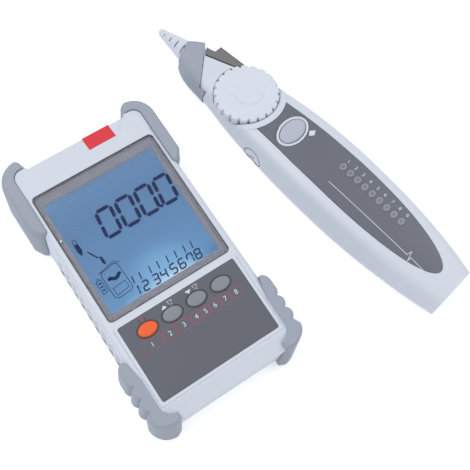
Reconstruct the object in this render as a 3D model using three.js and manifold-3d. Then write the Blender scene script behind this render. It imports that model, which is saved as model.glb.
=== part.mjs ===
import * as THREE from 'three';
import { mergeVertices } from 'three/addons/utils/BufferGeometryUtils.js';
import Module from 'manifold-3d';

// A handheld network cable tester and the wire tracing receiver that belongs to it.
// Both lie face up on one flat surface, in millimetres with +Z up.
// The tester's length runs along +Y. The receiver lies beside it, turned a little.

// Fits that both units share
const fitGap = 0.3; // between pieces that touch or slide
const runningGap = 0.1; // round a shaft that turns
const cutOver = 3; // how far a cut runs past the face that it opens
const weldDistance = 0.001; // vertices nearer than this are one

// Tester housing
const bodyLength = 148;
const bodyTopWidth = 77.2;
const bodyBottomWidth = 80.6;
const bodyDepth = 34;
const topCornerRadius = 6.4;
const bottomCornerRadius = 10.4;
const bodyWall = 2.2;
const faceWall = 3.6;
const rimRound = 4;
const backRound = 3;
const partingHeight = 19.5;
const topBevelRun = 8.5;
const topBevelDrop = 1.9;
const topBevelInnerMargin = 16.6;
const topBevelOuterMargin = 10.6;
const endBevelRun = 8;
const endBevelDrop = 3;

// Grip flutes in the tester's flanks
const fluteCount = 9;
const flutePitch = 7;
const fluteRadius = 5;
const fluteDepth = 0.75;
const fluteTopDrop = 50;
const fluteEndMargin = 5.5;

// Display
const lensSideMargin = 3.6;
const lensHeight = 74.5;
const lensThickness = 1.6;
const lensCornerRadius = 2.2;
const lensTopMargin = 16.5;
const lensProud = 0.15;
const lensLedge = 2.6;
const panelMargin = 1.8;
const panelThickness = 2.4;

// Keypad
const middleBar = 4.4;
const overlaySideMargin = 6.7;
const overlayHeight = 41.1;
const overlayThickness = 0.8;
const overlayProud = 0.1;
const overlayCornerRadius = 0.8;
const frameGrooveOffset = 1.9;
const frameGrooveWidth = 0.5;
const frameGrooveDepth = 0.45;
const keyCount = 4;
const keyWidth = 7;
const keyRowMargin = 5.3;
const keySpacing = 3.65;
const keyRowDrop = 7.6;
const keyRing = 0.6;
const keyProud = 1.3;
const keyCrown = 0.9;
const keyTravel = 0.8;
const keyFlange = 1.1;
const keyFlangeThickness = 1.2;
const keyStemWidth = 3.6;
const switchSize = 6;
const switchHeight = 3.5;

// Corner bumpers
const bumperFaceProud = 0.8;
const bumperRound = 1.5;
const bumperLap = 1.4;
const topBumperProud = 5.8;
const topBumperReach = 6.6;
const topBumperRound = 2.4;
const topBumperRoundDrop = 6;
const topBumperInnerReach = 8.6;
const topBumperOuterRadius = 12.4;
const topBumperInnerRadius = 5;
const topBumperLength = 38.5;
const topBumperTaper = 8;
const bottomBumperProud = 4;
const bottomBumperReach = 4.8;
const bottomBumperEndLap = 4;
const bottomBumperInnerReach = 10;
const bottomBumperLength = 38.3;
const bottomBumperTaper = 3;
const bottomBumperLap = 3.4;
const bottomBumperInnerRadius = 7;
const lobeCount = 3;
const lobePitch = 7;
const lobeRadius = 4.2;
const lobeFirstRise = 21.6;
const bottomBumperFlare = 12;
const cornerLobeRadius = 10.9;

// Tester inside
const boardThickness = 1.6;
const boardMargin = 0.8;
const screwInsetX = 5.9;
const screwInsetY = 11.5;
const screwPostRadius = 3;
const screwShankRadius = 1.2;
const screwHeadRadius = 2.5;
const screwHeadHeight = 1.8;
const screwHeadSink = 0.6;
const screwBite = 6;
const portWidth = 16;
const portHeight = 13.2;
const portDepth = 18;
const portOffset = 11.5;
const portRecess = 0.6;
const plugWidth = 11.8;
const plugHeight = 6.8;
const plugDepth = 13.5;
const portRoof = 1.8;
const latchWidth = 6.4;
const latchHeight = 1.5;
const latchTongueWidth = 3.4;
const latchTongueHeight = 1.3;

// Tester battery bay
const cellCount = 4;
const cellRadius = 7.1;
const cellSideMargin = 15.7;
const cellNubRadius = 2.7;
const cellNubHeight = 1;
const cellPitch = 14.6;
const contactThickness = 0.6;
const contactDomeRadius = 3;
const contactDomeHeight = 0.8;
const bayWall = 1.4;
const bayEndMargin = 5.2;
const doorThickness = 1.8;
const doorRecess = 0.3;
const doorDovetail = 1.2;
const doorOverlap = 1.5;
const doorLandWidth = 0.6;
const doorRibCount = 5;
const doorRibPitch = 2.4;
const doorRibWidth = 1;
const doorRibDepth = 0.5;
const doorRibLength = 18;

// Receiver place beside the tester, turned about its tail
const receiverX = 128.6;
const receiverY = -95.6;
const receiverTurn = THREE.MathUtils.degToRad(11.68);

// Receiver housing, measured along its own length from the tail
const handleLength = 203.5;
const handleHalfWidth = 22.8;
const handleHeight = 27;
const handleWall = 2;
const handleWaistHeight = 11;
const handleSideLean = 0.8;
const handleFootLean = 0.6;
const tailFootTuck = 1.6;
const tailFootEase = 60;
const handleFootRound = 6;
const handleShoulderRound = 7;
const handleCrown = 1.1;
const handleStep = 17;
const handleParting = 9.5;
const handleNoseParting = 7.5;
const handlePartingBendBack = 53.5;
const tailLean = 2.4;
const tailRecessWidth = 20;
const tailRecessTop = 22.6;
const tailRecessFoot = 5.4;
const tailRecessDepth = 0.9;
// Half-width and height along the length, as shares of handleLength, handleHalfWidth and handleHeight
const handleProfileShares = [
  [-0.03, 0.66, 0.855],
  [0, 0.686, 0.87],
  [0.074, 0.796, 0.933],
  [0.197, 0.92, 0.985],
  [0.319, 0.982, 1],
  [0.418, 1, 1],
  [0.516, 0.987, 0.968],
  [0.609, 0.942, 0.905],
  [0.737, 0.836, 0.745],
  [0.85, 0.673, 0.645],
  [0.924, 0.611, 0.607],
  [0.973, 0.46, 0.578],
  [1, 0.389, 0.526],
  [1.03, 0.33, 0.48],
];

// Receiver nose: rubber collar, cone and antenna. Places named Back are that far behind the handle's end
const collarProud = 0.8;
const collarThickness = 2.6;
const collarRearBack = 15.7;
const collarRearTurn = THREE.MathUtils.degToRad(38.7);
const collarTabAcross = 14.1;
const collarTabBack = 30.9;
const collarFrontFootBack = 4.9;
const collarFrontTopBack = 0.5;
const collarFrontTurn = THREE.MathUtils.degToRad(22);
const collarNoseAcross = 11.2;
const collarNoseBack = 6;
const collarNoseTurn = THREE.MathUtils.degToRad(38);
const neckBack = 10.2;
const tipStartBack = 9.9;
const tipApexAhead = 18.8;
const tipStartHeight = 8.1;
const tipApexRadius = 1.9;
const tipApexClearance = 0.3;
const tipStartRadius = 7.05;
const spigotRadius = 3.2;
const spigotLength = 8;
const antennaRadius = 1.2;
const antennaBack = 26.5;
const antennaEndMargin = 8;
const tipSlotPitch = 4.3;
const tipSlotCount = 4;
const tipSlotWidth = 0.8;
const tipSlotDepth = 0.7;
const tipSlotFirst = 5;
const tipSlotFirstLength = 1.6;
const tipSlotGrowth = 1.6;

// Receiver dial
const dialBack = 48.7;
const dialTopHeight = 20.6;
const dialTilt = THREE.MathUtils.degToRad(8);
const dialRadius = 18.5;
const dialThickness = 5.5;
const dialNotchCount = 22;
const dialNotchRadius = 1.15;
const dialRimRound = 0.9;
const dialStepRadius = 14.6;
const dialStepHeight = 0.5;
const dialPocketGap = 0.4;
const dialPocketFloor = 1.8;
const spindleRadius = 3;
const spindleSeat = 2.6;
const potRadius = 8.5;
const crescentWidth = 3.5;
const crescentProud = 0.45;

// Receiver face: label, mode key and signal lights
const labelTailMargin = 11.5;
const labelHalfWidth = 14;
const labelWidestShare = 0.403;
const labelEndHalfWidth = 11.6;
const labelThickness = 0.6;
const labelBed = 0.3;
const labelRoundPower = 2.3;
const modeBack = 83;
const modeKeyLength = 17.5;
const modeKeyWidth = 11;
const modeRingLength = 21;
const modeRingWidth = 14.5;
const modeRingProud = 0.6;
const modeRingHeight = 2;
const modeKeyProud = 1.5;
const modeKeyCrown = 0.8;
const modeKeyTravel = 1;
const modeKeyHeight = 4;
const lightCount = 9;
const lightFirstShare = 0.2192;
const lightPitchShare = 0.0262;
const lightSpacing = 1.33;
const lightLength = 5;
const lightAcross = 4.4;
const lightProud = 0.25;
const lightStripWidth = 7;
const lightStripThickness = 1.2;

// Receiver side lever
const leverRearBack = 66;
const leverRearAcross = 18.9;
const leverBendBack = 31.3;
const leverBendAcross = 9.4;
const leverFrontAcross = 2.2;
const leverNeckWidth = 4.9;
const leverLow = 4;
const leverSink = 0.9;
const leverSwing = THREE.MathUtils.degToRad(1.5);
const leverPivotInset = 1.6;
const leverFinStartBack = 34.1;
const leverFinEndBack = 17.1;
const leverFinRearAcross = 14.5;
const leverFinFrontAcross = 12.6;
const leverFinTop = 15.2;

// Receiver inside
const receiverBoardLow = 19.6;
const receiverBoardThickness = 1.4;
const receiverBoardWidth = 25;
const receiverBoardStart = 3.4;
const receiverBoardPastMode = 3.5;
const blockWidth = 26.2;
const blockLength = 46;
const blockHeight = 16.4;
const blockRound = 2;
const blockStart = 22;
const studRadius = 2.8;
const studHeight = 2.4;
const studOffset = 6.35;
const snapThickness = 2;
const trayWall = 1.4;
const speakerAlong = 100;
const speakerRadius = 13;
const speakerHeight = 4.5;
const soundHoleRadius = 0.9;
const soundHoleRing = 5;
const soundHoleCount = 6;
const handleDoorHalfWidth = 14.5;
const handleScrewRearAlong = 81;
const handleScrewFrontAlong = 116;
const handleScrewRearAcross = 15.5;
const handleScrewFrontAcross = 13.5;

// Earphone socket in the receiver's left flank
const earSocketBack = 75.3;
const earSocketHeight = 8.8;
const earSocketRadius = 6.2;
const earSocketInset = 5.8;
const earBarrelRadius = 3.6;
const earBarrelInset = 14.8;
const earBoreRadius = 1.8;
const earBoreInset = 12.8;

// Counts of facets
const cornerSteps = 4;
const rimSteps = 3;
const keySegments = 16;
const lightSegments = 12;
const screwSegments = 8;
const roundSegments = 16;
const dialSegments = 66;

const manifoldLibrary = await Module();
manifoldLibrary.setup();

// Colours and finishes
const whitePlastic = new THREE.MeshStandardMaterial({ color: 0xdde2ec, roughness: 0.5, metalness: 0 });
const greyRubber = new THREE.MeshStandardMaterial({ color: 0xa6adba, roughness: 0.8, metalness: 0 });
const darkLabel = new THREE.MeshStandardMaterial({ color: 0x686b74, roughness: 0.45, metalness: 0 });
const greyKey = new THREE.MeshStandardMaterial({ color: 0x8c8f97, roughness: 0.6, metalness: 0 });
const orangeKey = new THREE.MeshStandardMaterial({ color: 0xf96b36, roughness: 0.5, metalness: 0 });
const paleKey = new THREE.MeshStandardMaterial({ color: 0xbfc3ce, roughness: 0.5, metalness: 0 });
const lensPlastic = new THREE.MeshStandardMaterial({ color: 0x6f8fb4, roughness: 0.1, metalness: 0 });
const displayGlass = new THREE.MeshStandardMaterial({ color: 0x6fa0c8, roughness: 0.2, metalness: 0 });
const lightGuide = new THREE.MeshStandardMaterial({ color: 0xe8edf5, roughness: 0.3, metalness: 0 });
const boardGreen = new THREE.MeshStandardMaterial({ color: 0x2c6e49, roughness: 0.6, metalness: 0 });
const blackPlastic = new THREE.MeshStandardMaterial({ color: 0x26282c, roughness: 0.5, metalness: 0 });
const darkPlastic = new THREE.MeshStandardMaterial({ color: 0x6f6f76, roughness: 0.5, metalness: 0 });
const plainSteel = new THREE.MeshStandardMaterial({ color: 0xb8bcc2, roughness: 0.35, metalness: 1 });
const brightBrass = new THREE.MeshStandardMaterial({ color: 0xc9a24d, roughness: 0.35, metalness: 1 });
const cellJacket = new THREE.MeshStandardMaterial({ color: 0x3b4a66, roughness: 0.4, metalness: 0 });
const clearLight = new THREE.MeshStandardMaterial({ color: 0xaab0bc, roughness: 0.3, metalness: 0 });

// A closed geometry as a solid, with its faces turned outwards
function solid(geometry) {
  const bare = geometry.clone();
  bare.deleteAttribute('normal');
  bare.deleteAttribute('uv');
  const merged = mergeVertices(bare, weldDistance);
  const places = merged.getAttribute('position').array;
  const corners = [];
  let volume = 0;
  for (let face = 0; face < merged.index.count; face += 3) {
    const [a, b, c] = [0, 1, 2].map((corner) => merged.index.array[face + corner]);
    if (a === b || b === c || c === a) continue;
    corners.push(a, b, c);
    const [p, q, r] = [a, b, c].map((vertex) => new THREE.Vector3().fromArray(places, vertex * 3));
    volume += p.dot(q.cross(r));
  }
  if (volume < 0) corners.reverse();
  const mesh = new manifoldLibrary.Mesh({
    numProp: 3,
    vertProperties: Float32Array.from(places),
    triVerts: Uint32Array.from(corners),
  });
  return new manifoldLibrary.Manifold(mesh);
}

function join(...solids) {
  return solids.reduce((whole, piece) => whole.add(piece));
}

function cut(whole, ...tools) {
  return tools.reduce((rest, tool) => rest.subtract(tool), whole);
}

// A solid as a named mesh
function piece(name, shape, material) {
  const mesh = shape.getMesh();
  const geometry = new THREE.BufferGeometry();
  geometry.setAttribute('position', new THREE.BufferAttribute(mesh.vertProperties, 3));
  geometry.setIndex(new THREE.BufferAttribute(mesh.triVerts, 1));
  geometry.computeVertexNormals();
  const made = new THREE.Mesh(geometry, material);
  made.name = name;
  return made;
}

// The triangles that fill an outline, turned the same way as the outline
function capFaces(outline) {
  const faces = THREE.ShapeUtils.triangulateShape(outline, []);
  return THREE.ShapeUtils.isClockWise(outline) ? faces.map((face) => face.reverse()) : faces;
}

// A skin through rings of equal count, closed at both ends; flat gives a ring point's two cap coordinates
function loft(rings, flat) {
  const count = rings[0].length;
  const places = rings.flat().flatMap((point) => [point.x, point.y, point.z]);
  const corners = [];
  for (let ring = 0; ring + 1 < rings.length; ring += 1) {
    for (let side = 0; side < count; side += 1) {
      const next = (side + 1) % count;
      const low = ring * count;
      const high = low + count;
      corners.push(low + side, low + next, high + next, low + side, high + next, high + side);
    }
  }
  const lastRing = (rings.length - 1) * count;
  for (const [a, b, c] of capFaces(rings[0].map(flat))) {
    corners.push(c, b, a);
  }
  for (const [a, b, c] of capFaces(rings[rings.length - 1].map(flat))) {
    corners.push(lastRing + a, lastRing + b, lastRing + c);
  }
  const geometry = new THREE.BufferGeometry();
  geometry.setAttribute('position', new THREE.Float32BufferAttribute(places, 3));
  geometry.setIndex(corners);
  return solid(geometry);
}

const fromAbove = (point) => new THREE.Vector2(point.x, point.y);
const fromTheEnd = (point) => new THREE.Vector2(point.x, point.z);
const fromTheSide = (point) => new THREE.Vector2(point.y, point.z);

// An outline drawn counterclockwise, moved inwards by a distance, edge by edge
function insetOutline(outline, distance) {
  const count = outline.length;
  return outline.map((point, index) => {
    const before = outline[(index + count - 1) % count];
    const after = outline[(index + 1) % count];
    const arriving = point.clone().sub(before).normalize();
    const leaving = after.clone().sub(point).normalize();
    const first = new THREE.Vector2(-arriving.y, arriving.x);
    const second = new THREE.Vector2(-leaving.y, leaving.x);
    const turn = 1 + first.dot(second);
    return point.clone().addScaledVector(first.add(second), distance / turn);
  });
}

// An upright prism over an outline, with its rims rounded where asked; highDrop is how deep the upper round goes
function prism(outline, low, high, lowRound = 0, highRound = 0, highDrop = highRound) {
  const levels = [];
  const lowSteps = lowRound > 0 ? rimSteps : 0;
  const highSteps = highRound > 0 ? rimSteps : 0;
  for (let step = 0; step <= lowSteps; step += 1) {
    const turn = lowSteps > 0 ? (step / lowSteps) * (Math.PI / 2) : Math.PI / 2;
    levels.push([low + lowRound * (1 - Math.cos(turn)), lowRound * (1 - Math.sin(turn))]);
  }
  for (let step = highSteps; step >= 0; step -= 1) {
    const turn = highSteps > 0 ? (step / highSteps) * (Math.PI / 2) : Math.PI / 2;
    levels.push([high - highDrop * (1 - Math.cos(turn)), highRound * (1 - Math.sin(turn))]);
  }
  const rings = levels.map(([height, inset]) =>
    insetOutline(outline, inset).map((point) => new THREE.Vector3(point.x, point.y, height)),
  );
  return loft(rings, fromAbove);
}

// A prism whose outline is seen from the side, as [along, height] points, and which runs across
function crossPrism(points, left, right) {
  const rings = [left, right].map((x) => points.map(([y, z]) => new THREE.Vector3(x, y, z)));
  return loft(rings, fromTheSide);
}

// A prism whose outline is seen from the end, as [across, height] points, and which runs along
function longPrism(points, near, far) {
  const rings = [near, far].map((y) => points.map(([x, z]) => new THREE.Vector3(x, y, z)));
  return loft(rings, fromTheEnd);
}

function block(left, right, near, far, low, high) {
  const geometry = new THREE.BoxGeometry(right - left, far - near, high - low);
  geometry.translate((left + right) / 2, (near + far) / 2, (low + high) / 2);
  return solid(geometry);
}

function upright(x, y, radius, low, high, segments = roundSegments) {
  const geometry = new THREE.CylinderGeometry(radius, radius, high - low, segments);
  geometry.rotateX(Math.PI / 2);
  geometry.translate(x, y, (low + high) / 2);
  return solid(geometry);
}

// A profile of [radius, height] points turned about the vertical, then aimed and placed
function turned(profile, segments, place = new THREE.Matrix4()) {
  const geometry = new THREE.LatheGeometry(profile.map(([r, h]) => new THREE.Vector2(r, h)), segments);
  geometry.rotateX(Math.PI / 2);
  geometry.applyMatrix4(place);
  return solid(geometry);
}

function arcPoints(centreX, centreY, radius, from, to, steps) {
  const points = [];
  for (let step = 0; step <= steps; step += 1) {
    const angle = from + ((to - from) * step) / steps;
    points.push(new THREE.Vector2(centreX + radius * Math.cos(angle), centreY + radius * Math.sin(angle)));
  }
  return points;
}

function ellipseOutline(centreX, centreY, halfX, halfY, segments) {
  const points = [];
  for (let step = 0; step < segments; step += 1) {
    const angle = (step / segments) * 2 * Math.PI;
    points.push(new THREE.Vector2(centreX + halfX * Math.cos(angle), centreY + halfY * Math.sin(angle)));
  }
  return points;
}

function roundedOutline(left, right, near, far, radius) {
  return [
    ...arcPoints(right - radius, near + radius, radius, -Math.PI / 2, 0, cornerSteps),
    ...arcPoints(right - radius, far - radius, radius, 0, Math.PI / 2, cornerSteps),
    ...arcPoints(left + radius, far - radius, radius, Math.PI / 2, Math.PI, cornerSteps),
    ...arcPoints(left + radius, near + radius, radius, Math.PI, 1.5 * Math.PI, cornerSteps),
  ];
}

function mirrored(outline) {
  return outline.map((point) => new THREE.Vector2(-point.x, point.y)).reverse();
}

// Tester places, from the middle of its back
const narrowWidth = Math.min(bodyTopWidth, bodyBottomWidth);
const lensWidth = narrowWidth - 2 * lensSideMargin;
const overlayWidth = bodyBottomWidth - 2 * overlaySideMargin;
const keyPitch = (overlayWidth - 2 * keyRowMargin) / keyCount;
const keyLength = keyPitch - keySpacing;
const cellLength = bodyBottomWidth - 2 * cellSideMargin;
const testerTop = bodyLength / 2;
const testerEnd = -bodyLength / 2;
const topHalfWidth = bodyTopWidth / 2;
const endHalfWidth = bodyBottomWidth / 2;
const topBumperInnerX = topHalfWidth - topBumperInnerReach;
const bottomBumperInnerX = endHalfWidth - bottomBumperInnerReach;
const lensTop = testerTop - lensTopMargin;
const lensBottom = lensTop - lensHeight;
const overlayTop = lensBottom - middleBar;
const overlayBottom = overlayTop - overlayHeight;
const keyRow = overlayTop - keyRowDrop;
const faceUnderside = bodyDepth - faceWall;
const frontShellLow = partingHeight + fitGap;
const boardLow = frontShellLow;
const boardTop = boardLow + boardThickness;
const keyPlaces = [-1.5, -0.5, 0.5, 1.5].map((steps) => steps * keyPitch);

// The tester's outline in plan, wider by grow all round
function bodyOutline(grow) {
  const topRadius = topCornerRadius + grow;
  const endRadius = bottomCornerRadius + grow;
  const topX = topHalfWidth + grow - topRadius;
  const endX = endHalfWidth + grow - endRadius;
  const topY = testerTop + grow - topRadius;
  const endY = testerEnd - grow + endRadius;
  return [
    ...arcPoints(endX, endY, endRadius, -Math.PI / 2, 0, cornerSteps),
    ...arcPoints(topX, topY, topRadius, 0, Math.PI / 2, cornerSteps),
    ...arcPoints(-topX, topY, topRadius, Math.PI / 2, Math.PI, cornerSteps),
    ...arcPoints(-endX, endY, endRadius, Math.PI, 1.5 * Math.PI, cornerSteps),
  ];
}

// Shallow upright flutes along both flanks, between the bumpers
function gripFlutes() {
  const flutes = [];
  for (let flute = 0; flute < fluteCount; flute += 1) {
    const y = testerTop - fluteTopDrop - flute * flutePitch;
    const flankX = THREE.MathUtils.mapLinear(y, testerTop, testerEnd, topHalfWidth, endHalfWidth);
    const x = flankX + fluteRadius - fluteDepth;
    for (const side of [-1, 1]) {
      flutes.push(upright(side * x, y, fluteRadius, fluteEndMargin, bodyDepth - fluteEndMargin));
    }
  }
  return join(...flutes);
}

// Where the four housing screws stand
const screwPlaces = [
  [topHalfWidth - screwInsetX, testerTop - screwInsetY],
  [-topHalfWidth + screwInsetX, testerTop - screwInsetY],
  [endHalfWidth - screwInsetX - bodyWall / 2, testerEnd + screwInsetY],
  [-endHalfWidth + screwInsetX + bodyWall / 2, testerEnd + screwInsetY],
];

// A countersunk pocket and a shank hole under it, from the back face up
function screwWell(x, y, low, top) {
  const headTop = low + screwHeadSink + screwHeadHeight;
  return join(
    upright(x, y, screwHeadRadius + fitGap, low - cutOver, headTop + fitGap, lightSegments),
    upright(x, y, screwShankRadius + fitGap, low, top, screwSegments),
  );
}

// A pan head screw with a cross recess, head down
function screw(x, y, low, top) {
  const head = low + screwHeadSink;
  const arm = screwHeadRadius / 2;
  const body = join(
    upright(x, y, screwHeadRadius, head, head + screwHeadHeight, lightSegments),
    upright(x, y, screwShankRadius, head + screwHeadHeight / 2, top, screwSegments),
  );
  const slot = screwShankRadius / 4;
  return cut(
    body,
    block(x - arm, x + arm, y - slot, y + slot, head - cutOver, head + screwHeadHeight / 2),
    block(x - slot, x + slot, y - arm, y + arm, head - cutOver, head + screwHeadHeight / 2),
  );
}

// Front housing shell: window, keypad bed, key holes, sloped top facet and screw posts
const lensOutline = (grow) =>
  roundedOutline(
    -lensWidth / 2 - grow,
    lensWidth / 2 + grow,
    lensBottom - grow,
    lensTop + grow,
    Math.max(lensCornerRadius + grow, fitGap),
  );
const overlayOutline = (grow) =>
  roundedOutline(
    -overlayWidth / 2 - grow,
    overlayWidth / 2 + grow,
    overlayBottom - grow,
    overlayTop + grow,
    overlayCornerRadius + grow,
  );

// A slope cut off an end of the face: it starts run from the end and is drop deep there
function endSlope(end, run, drop, halfWidth) {
  const way = Math.sign(end);
  const start = end - way * run;
  const far = end + way * cutOver;
  const farHeight = bodyDepth - (drop * (run + cutOver)) / run;
  return crossPrism(
    [[start, bodyDepth], [far, farHeight], [far, bodyDepth + cutOver], [start, bodyDepth + cutOver]],
    -halfWidth,
    halfWidth,
  );
}

function topFacet() {
  const start = testerTop - topBevelRun;
  const far = testerTop + cutOver;
  const inner = topHalfWidth - topBevelInnerMargin;
  const outer = topHalfWidth - topBevelOuterMargin;
  const plan = [
    new THREE.Vector2(-inner, start),
    new THREE.Vector2(inner, start),
    new THREE.Vector2(outer, testerTop),
    new THREE.Vector2(outer, far),
    new THREE.Vector2(-outer, far),
    new THREE.Vector2(-outer, testerTop),
  ];
  const column = prism(plan, faceUnderside - cutOver, bodyDepth + cutOver);
  return endSlope(testerTop, topBevelRun, topBevelDrop, bodyTopWidth).intersect(column);
}

// A thin groove that frames the keypad at its sides and foot
function frameGroove() {
  const band = cut(
    prism(overlayOutline(frameGrooveOffset + frameGrooveWidth), bodyDepth - frameGrooveDepth, bodyDepth + cutOver),
    prism(overlayOutline(frameGrooveOffset), 0, bodyDepth + cutOver + cutOver),
  );
  const headroom = block(
    -bodyBottomWidth,
    bodyBottomWidth,
    overlayTop,
    lensTop,
    0,
    bodyDepth + cutOver + cutOver,
  );
  return cut(band, headroom);
}

function frontShell() {
  const outer = prism(bodyOutline(0), frontShellLow, bodyDepth, 0, rimRound);
  const hollow = prism(bodyOutline(-bodyWall), frontShellLow - cutOver, faceUnderside);
  const posts = screwPlaces.map(([x, y]) => upright(x, y, screwPostRadius, boardTop + fitGap, faceUnderside + bodyWall / 2));
  const bores = screwPlaces.map(([x, y]) =>
    upright(x, y, screwShankRadius + fitGap, boardTop, boardTop + screwBite + fitGap, screwSegments),
  );
  const lensBed = bodyDepth + lensProud - lensThickness - fitGap;
  const overlayBed = bodyDepth + overlayProud - overlayThickness - fitGap;
  const keyHoles = keyPlaces.map((x) =>
    prism(
      ellipseOutline(x, keyRow, keyLength / 2 + fitGap, keyWidth / 2 + fitGap, keySegments),
      faceUnderside - cutOver,
      bodyDepth + cutOver,
    ),
  );
  return cut(
    join(cut(outer, hollow), ...posts),
    ...bores,
    topFacet(),
    endSlope(testerEnd, endBevelRun, endBevelDrop, bodyBottomWidth),
    prism(lensOutline(fitGap), lensBed, bodyDepth + cutOver),
    prism(lensOutline(-lensLedge), faceUnderside - cutOver, bodyDepth + cutOver),
    prism(overlayOutline(fitGap), overlayBed, bodyDepth + cutOver),
    ...keyHoles,
    frameGroove(),
    gripFlutes(),
  );
}

// Rear housing shell: port notches in the top end, battery bay, doorway and screw posts
const cellHalfLength = cellLength / 2 + cellNubHeight;
const bayHalfWidth = cellHalfLength + contactThickness + contactDomeHeight + fitGap;
const bayFar = testerEnd + bayEndMargin + cellCount * cellPitch + fitGap;
const bayNear = testerEnd + bayEndMargin - fitGap;
const bayFloor = doorRecess + doorThickness + doorLandWidth;
const cellHeight = bayFloor + cellRadius;
const bayRoof = cellHeight + cellRadius + fitGap;
const doorHalfWidth = bayHalfWidth + doorOverlap / 2;
const doorFar = bayFar + doorOverlap;
const portTop = boardLow - fitGap;
const portLow = portTop - portHeight;
const portFront = testerTop - portRecess;

// The door's cross-section, wider above so that it can only slide
function doorSection(halfWidth, grow) {
  const low = doorRecess - grow;
  const high = doorRecess + doorThickness + grow;
  return [
    [-halfWidth - grow, low],
    [halfWidth + grow, low],
    [halfWidth + doorDovetail + grow, high],
    [-halfWidth - doorDovetail - grow, high],
  ];
}

function rearShell() {
  const outer = prism(bodyOutline(0), 0, partingHeight, backRound, 0);
  const hollow = prism(bodyOutline(-bodyWall), bodyWall, partingHeight + cutOver);
  const posts = screwPlaces.map(([x, y]) => upright(x, y, screwPostRadius + bodyWall / 2, bodyWall / 2, partingHeight));
  const bayBlock = block(
    -bayHalfWidth - bayWall,
    bayHalfWidth + bayWall,
    testerEnd + bodyWall / 2,
    bayFar + bayWall,
    backRound - bodyWall,
    bayRoof + bayWall,
  );
  const bayShell = bayBlock.intersect(prism(bodyOutline(-bodyWall / 2), 0, partingHeight));
  const bay = block(-bayHalfWidth, bayHalfWidth, bayNear, bayFar, doorRecess, bayRoof);
  const doorway = longPrism(doorSection(doorHalfWidth, fitGap), testerEnd - cutOver, doorFar + fitGap);
  const doorwayMouth = block(
    -doorHalfWidth - fitGap,
    doorHalfWidth + fitGap,
    testerEnd - cutOver,
    doorFar + fitGap,
    -cutOver,
    doorRecess,
  );
  const notches = [-portOffset, portOffset].map((x) =>
    block(
      x - portWidth / 2 - fitGap,
      x + portWidth / 2 + fitGap,
      portFront - portDepth,
      testerTop + cutOver,
      portLow - fitGap,
      partingHeight + cutOver,
    ),
  );
  const wells = screwPlaces.map(([x, y]) => screwWell(x, y, 0, partingHeight + cutOver));
  return cut(
    join(cut(outer, hollow), ...posts, bayShell),
    bay,
    doorway,
    doorwayMouth,
    ...notches,
    ...wells,
    gripFlutes(),
  );
}

// Sliding battery door with finger ribs near its free end
function testerDoor() {
  const plate = longPrism(doorSection(doorHalfWidth, 0), testerEnd, doorFar);
  const ribs = [];
  for (let rib = 0; rib < doorRibCount; rib += 1) {
    const y = testerEnd + backRound * 2 + rib * doorRibPitch;
    ribs.push(
      block(
        -doorRibLength / 2,
        doorRibLength / 2,
        y,
        y + doorRibWidth,
        -cutOver,
        doorRecess + doorRibDepth,
      ),
    );
  }
  return cut(plate.intersect(prism(bodyOutline(0), 0, partingHeight, backRound, 0)), ...ribs);
}

// A dry cell lying across the bay, its positive nub at the side that way names
function cell(index, way) {
  const y = bayNear + fitGap + cellPitch * (index + 1 / 2);
  const bodyEnd = cellLength / 2;
  const profile = [
    [0, -bodyEnd],
    [cellRadius, -bodyEnd],
    [cellRadius, bodyEnd],
    [cellNubRadius, bodyEnd],
    [cellNubRadius, bodyEnd + cellNubHeight],
    [0, bodyEnd + cellNubHeight],
  ];
  const aim = new THREE.Matrix4().makeRotationY((way * Math.PI) / 2);
  aim.setPosition(0, y, cellHeight);
  return turned(profile, roundSegments, aim);
}

// A contact plate at one side of the bay, with a pressed dome for each cell
function contactStrip(side) {
  const outer = bayHalfWidth - fitGap;
  const inner = outer - contactThickness;
  const low = bayFloor + cellRadius / 2;
  const high = bayRoof - cellRadius / 2;
  const plate = block(
    side > 0 ? inner : -outer,
    side > 0 ? outer : -inner,
    bayNear + fitGap,
    bayFar - fitGap,
    low,
    high,
  );
  const domes = [];
  for (let index = 0; index < cellCount; index += 1) {
    const y = bayNear + fitGap + cellPitch * (index + 1 / 2);
    const profile = [
      [0, -contactThickness / 2],
      [contactDomeRadius, -contactThickness / 2],
      [contactDomeRadius / 2, contactDomeHeight - fitGap],
      [0, contactDomeHeight - fitGap],
    ];
    const aim = new THREE.Matrix4().makeRotationY((-side * Math.PI) / 2);
    aim.setPosition(side * inner, y, cellHeight);
    domes.push(turned(profile, keySegments / 2, aim));
  }
  return join(plate, ...domes);
}

// Main circuit board with one switch under each key
function testerBoard() {
  const board = prism(bodyOutline(-bodyWall - boardMargin), boardLow, boardTop);
  const holes = screwPlaces.map(([x, y]) =>
    upright(x, y, screwShankRadius + fitGap, boardLow - cutOver, boardTop + cutOver, screwSegments),
  );
  const half = switchSize / 2;
  const switches = keyPlaces.map((x) => {
    const can = block(x - half, x + half, keyRow - half, keyRow + half, boardLow, boardTop + switchHeight / 2);
    return join(can, upright(x, keyRow, half / 2, boardTop, boardTop + switchHeight, screwSegments));
  });
  return join(cut(board, ...holes), ...switches);
}

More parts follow.
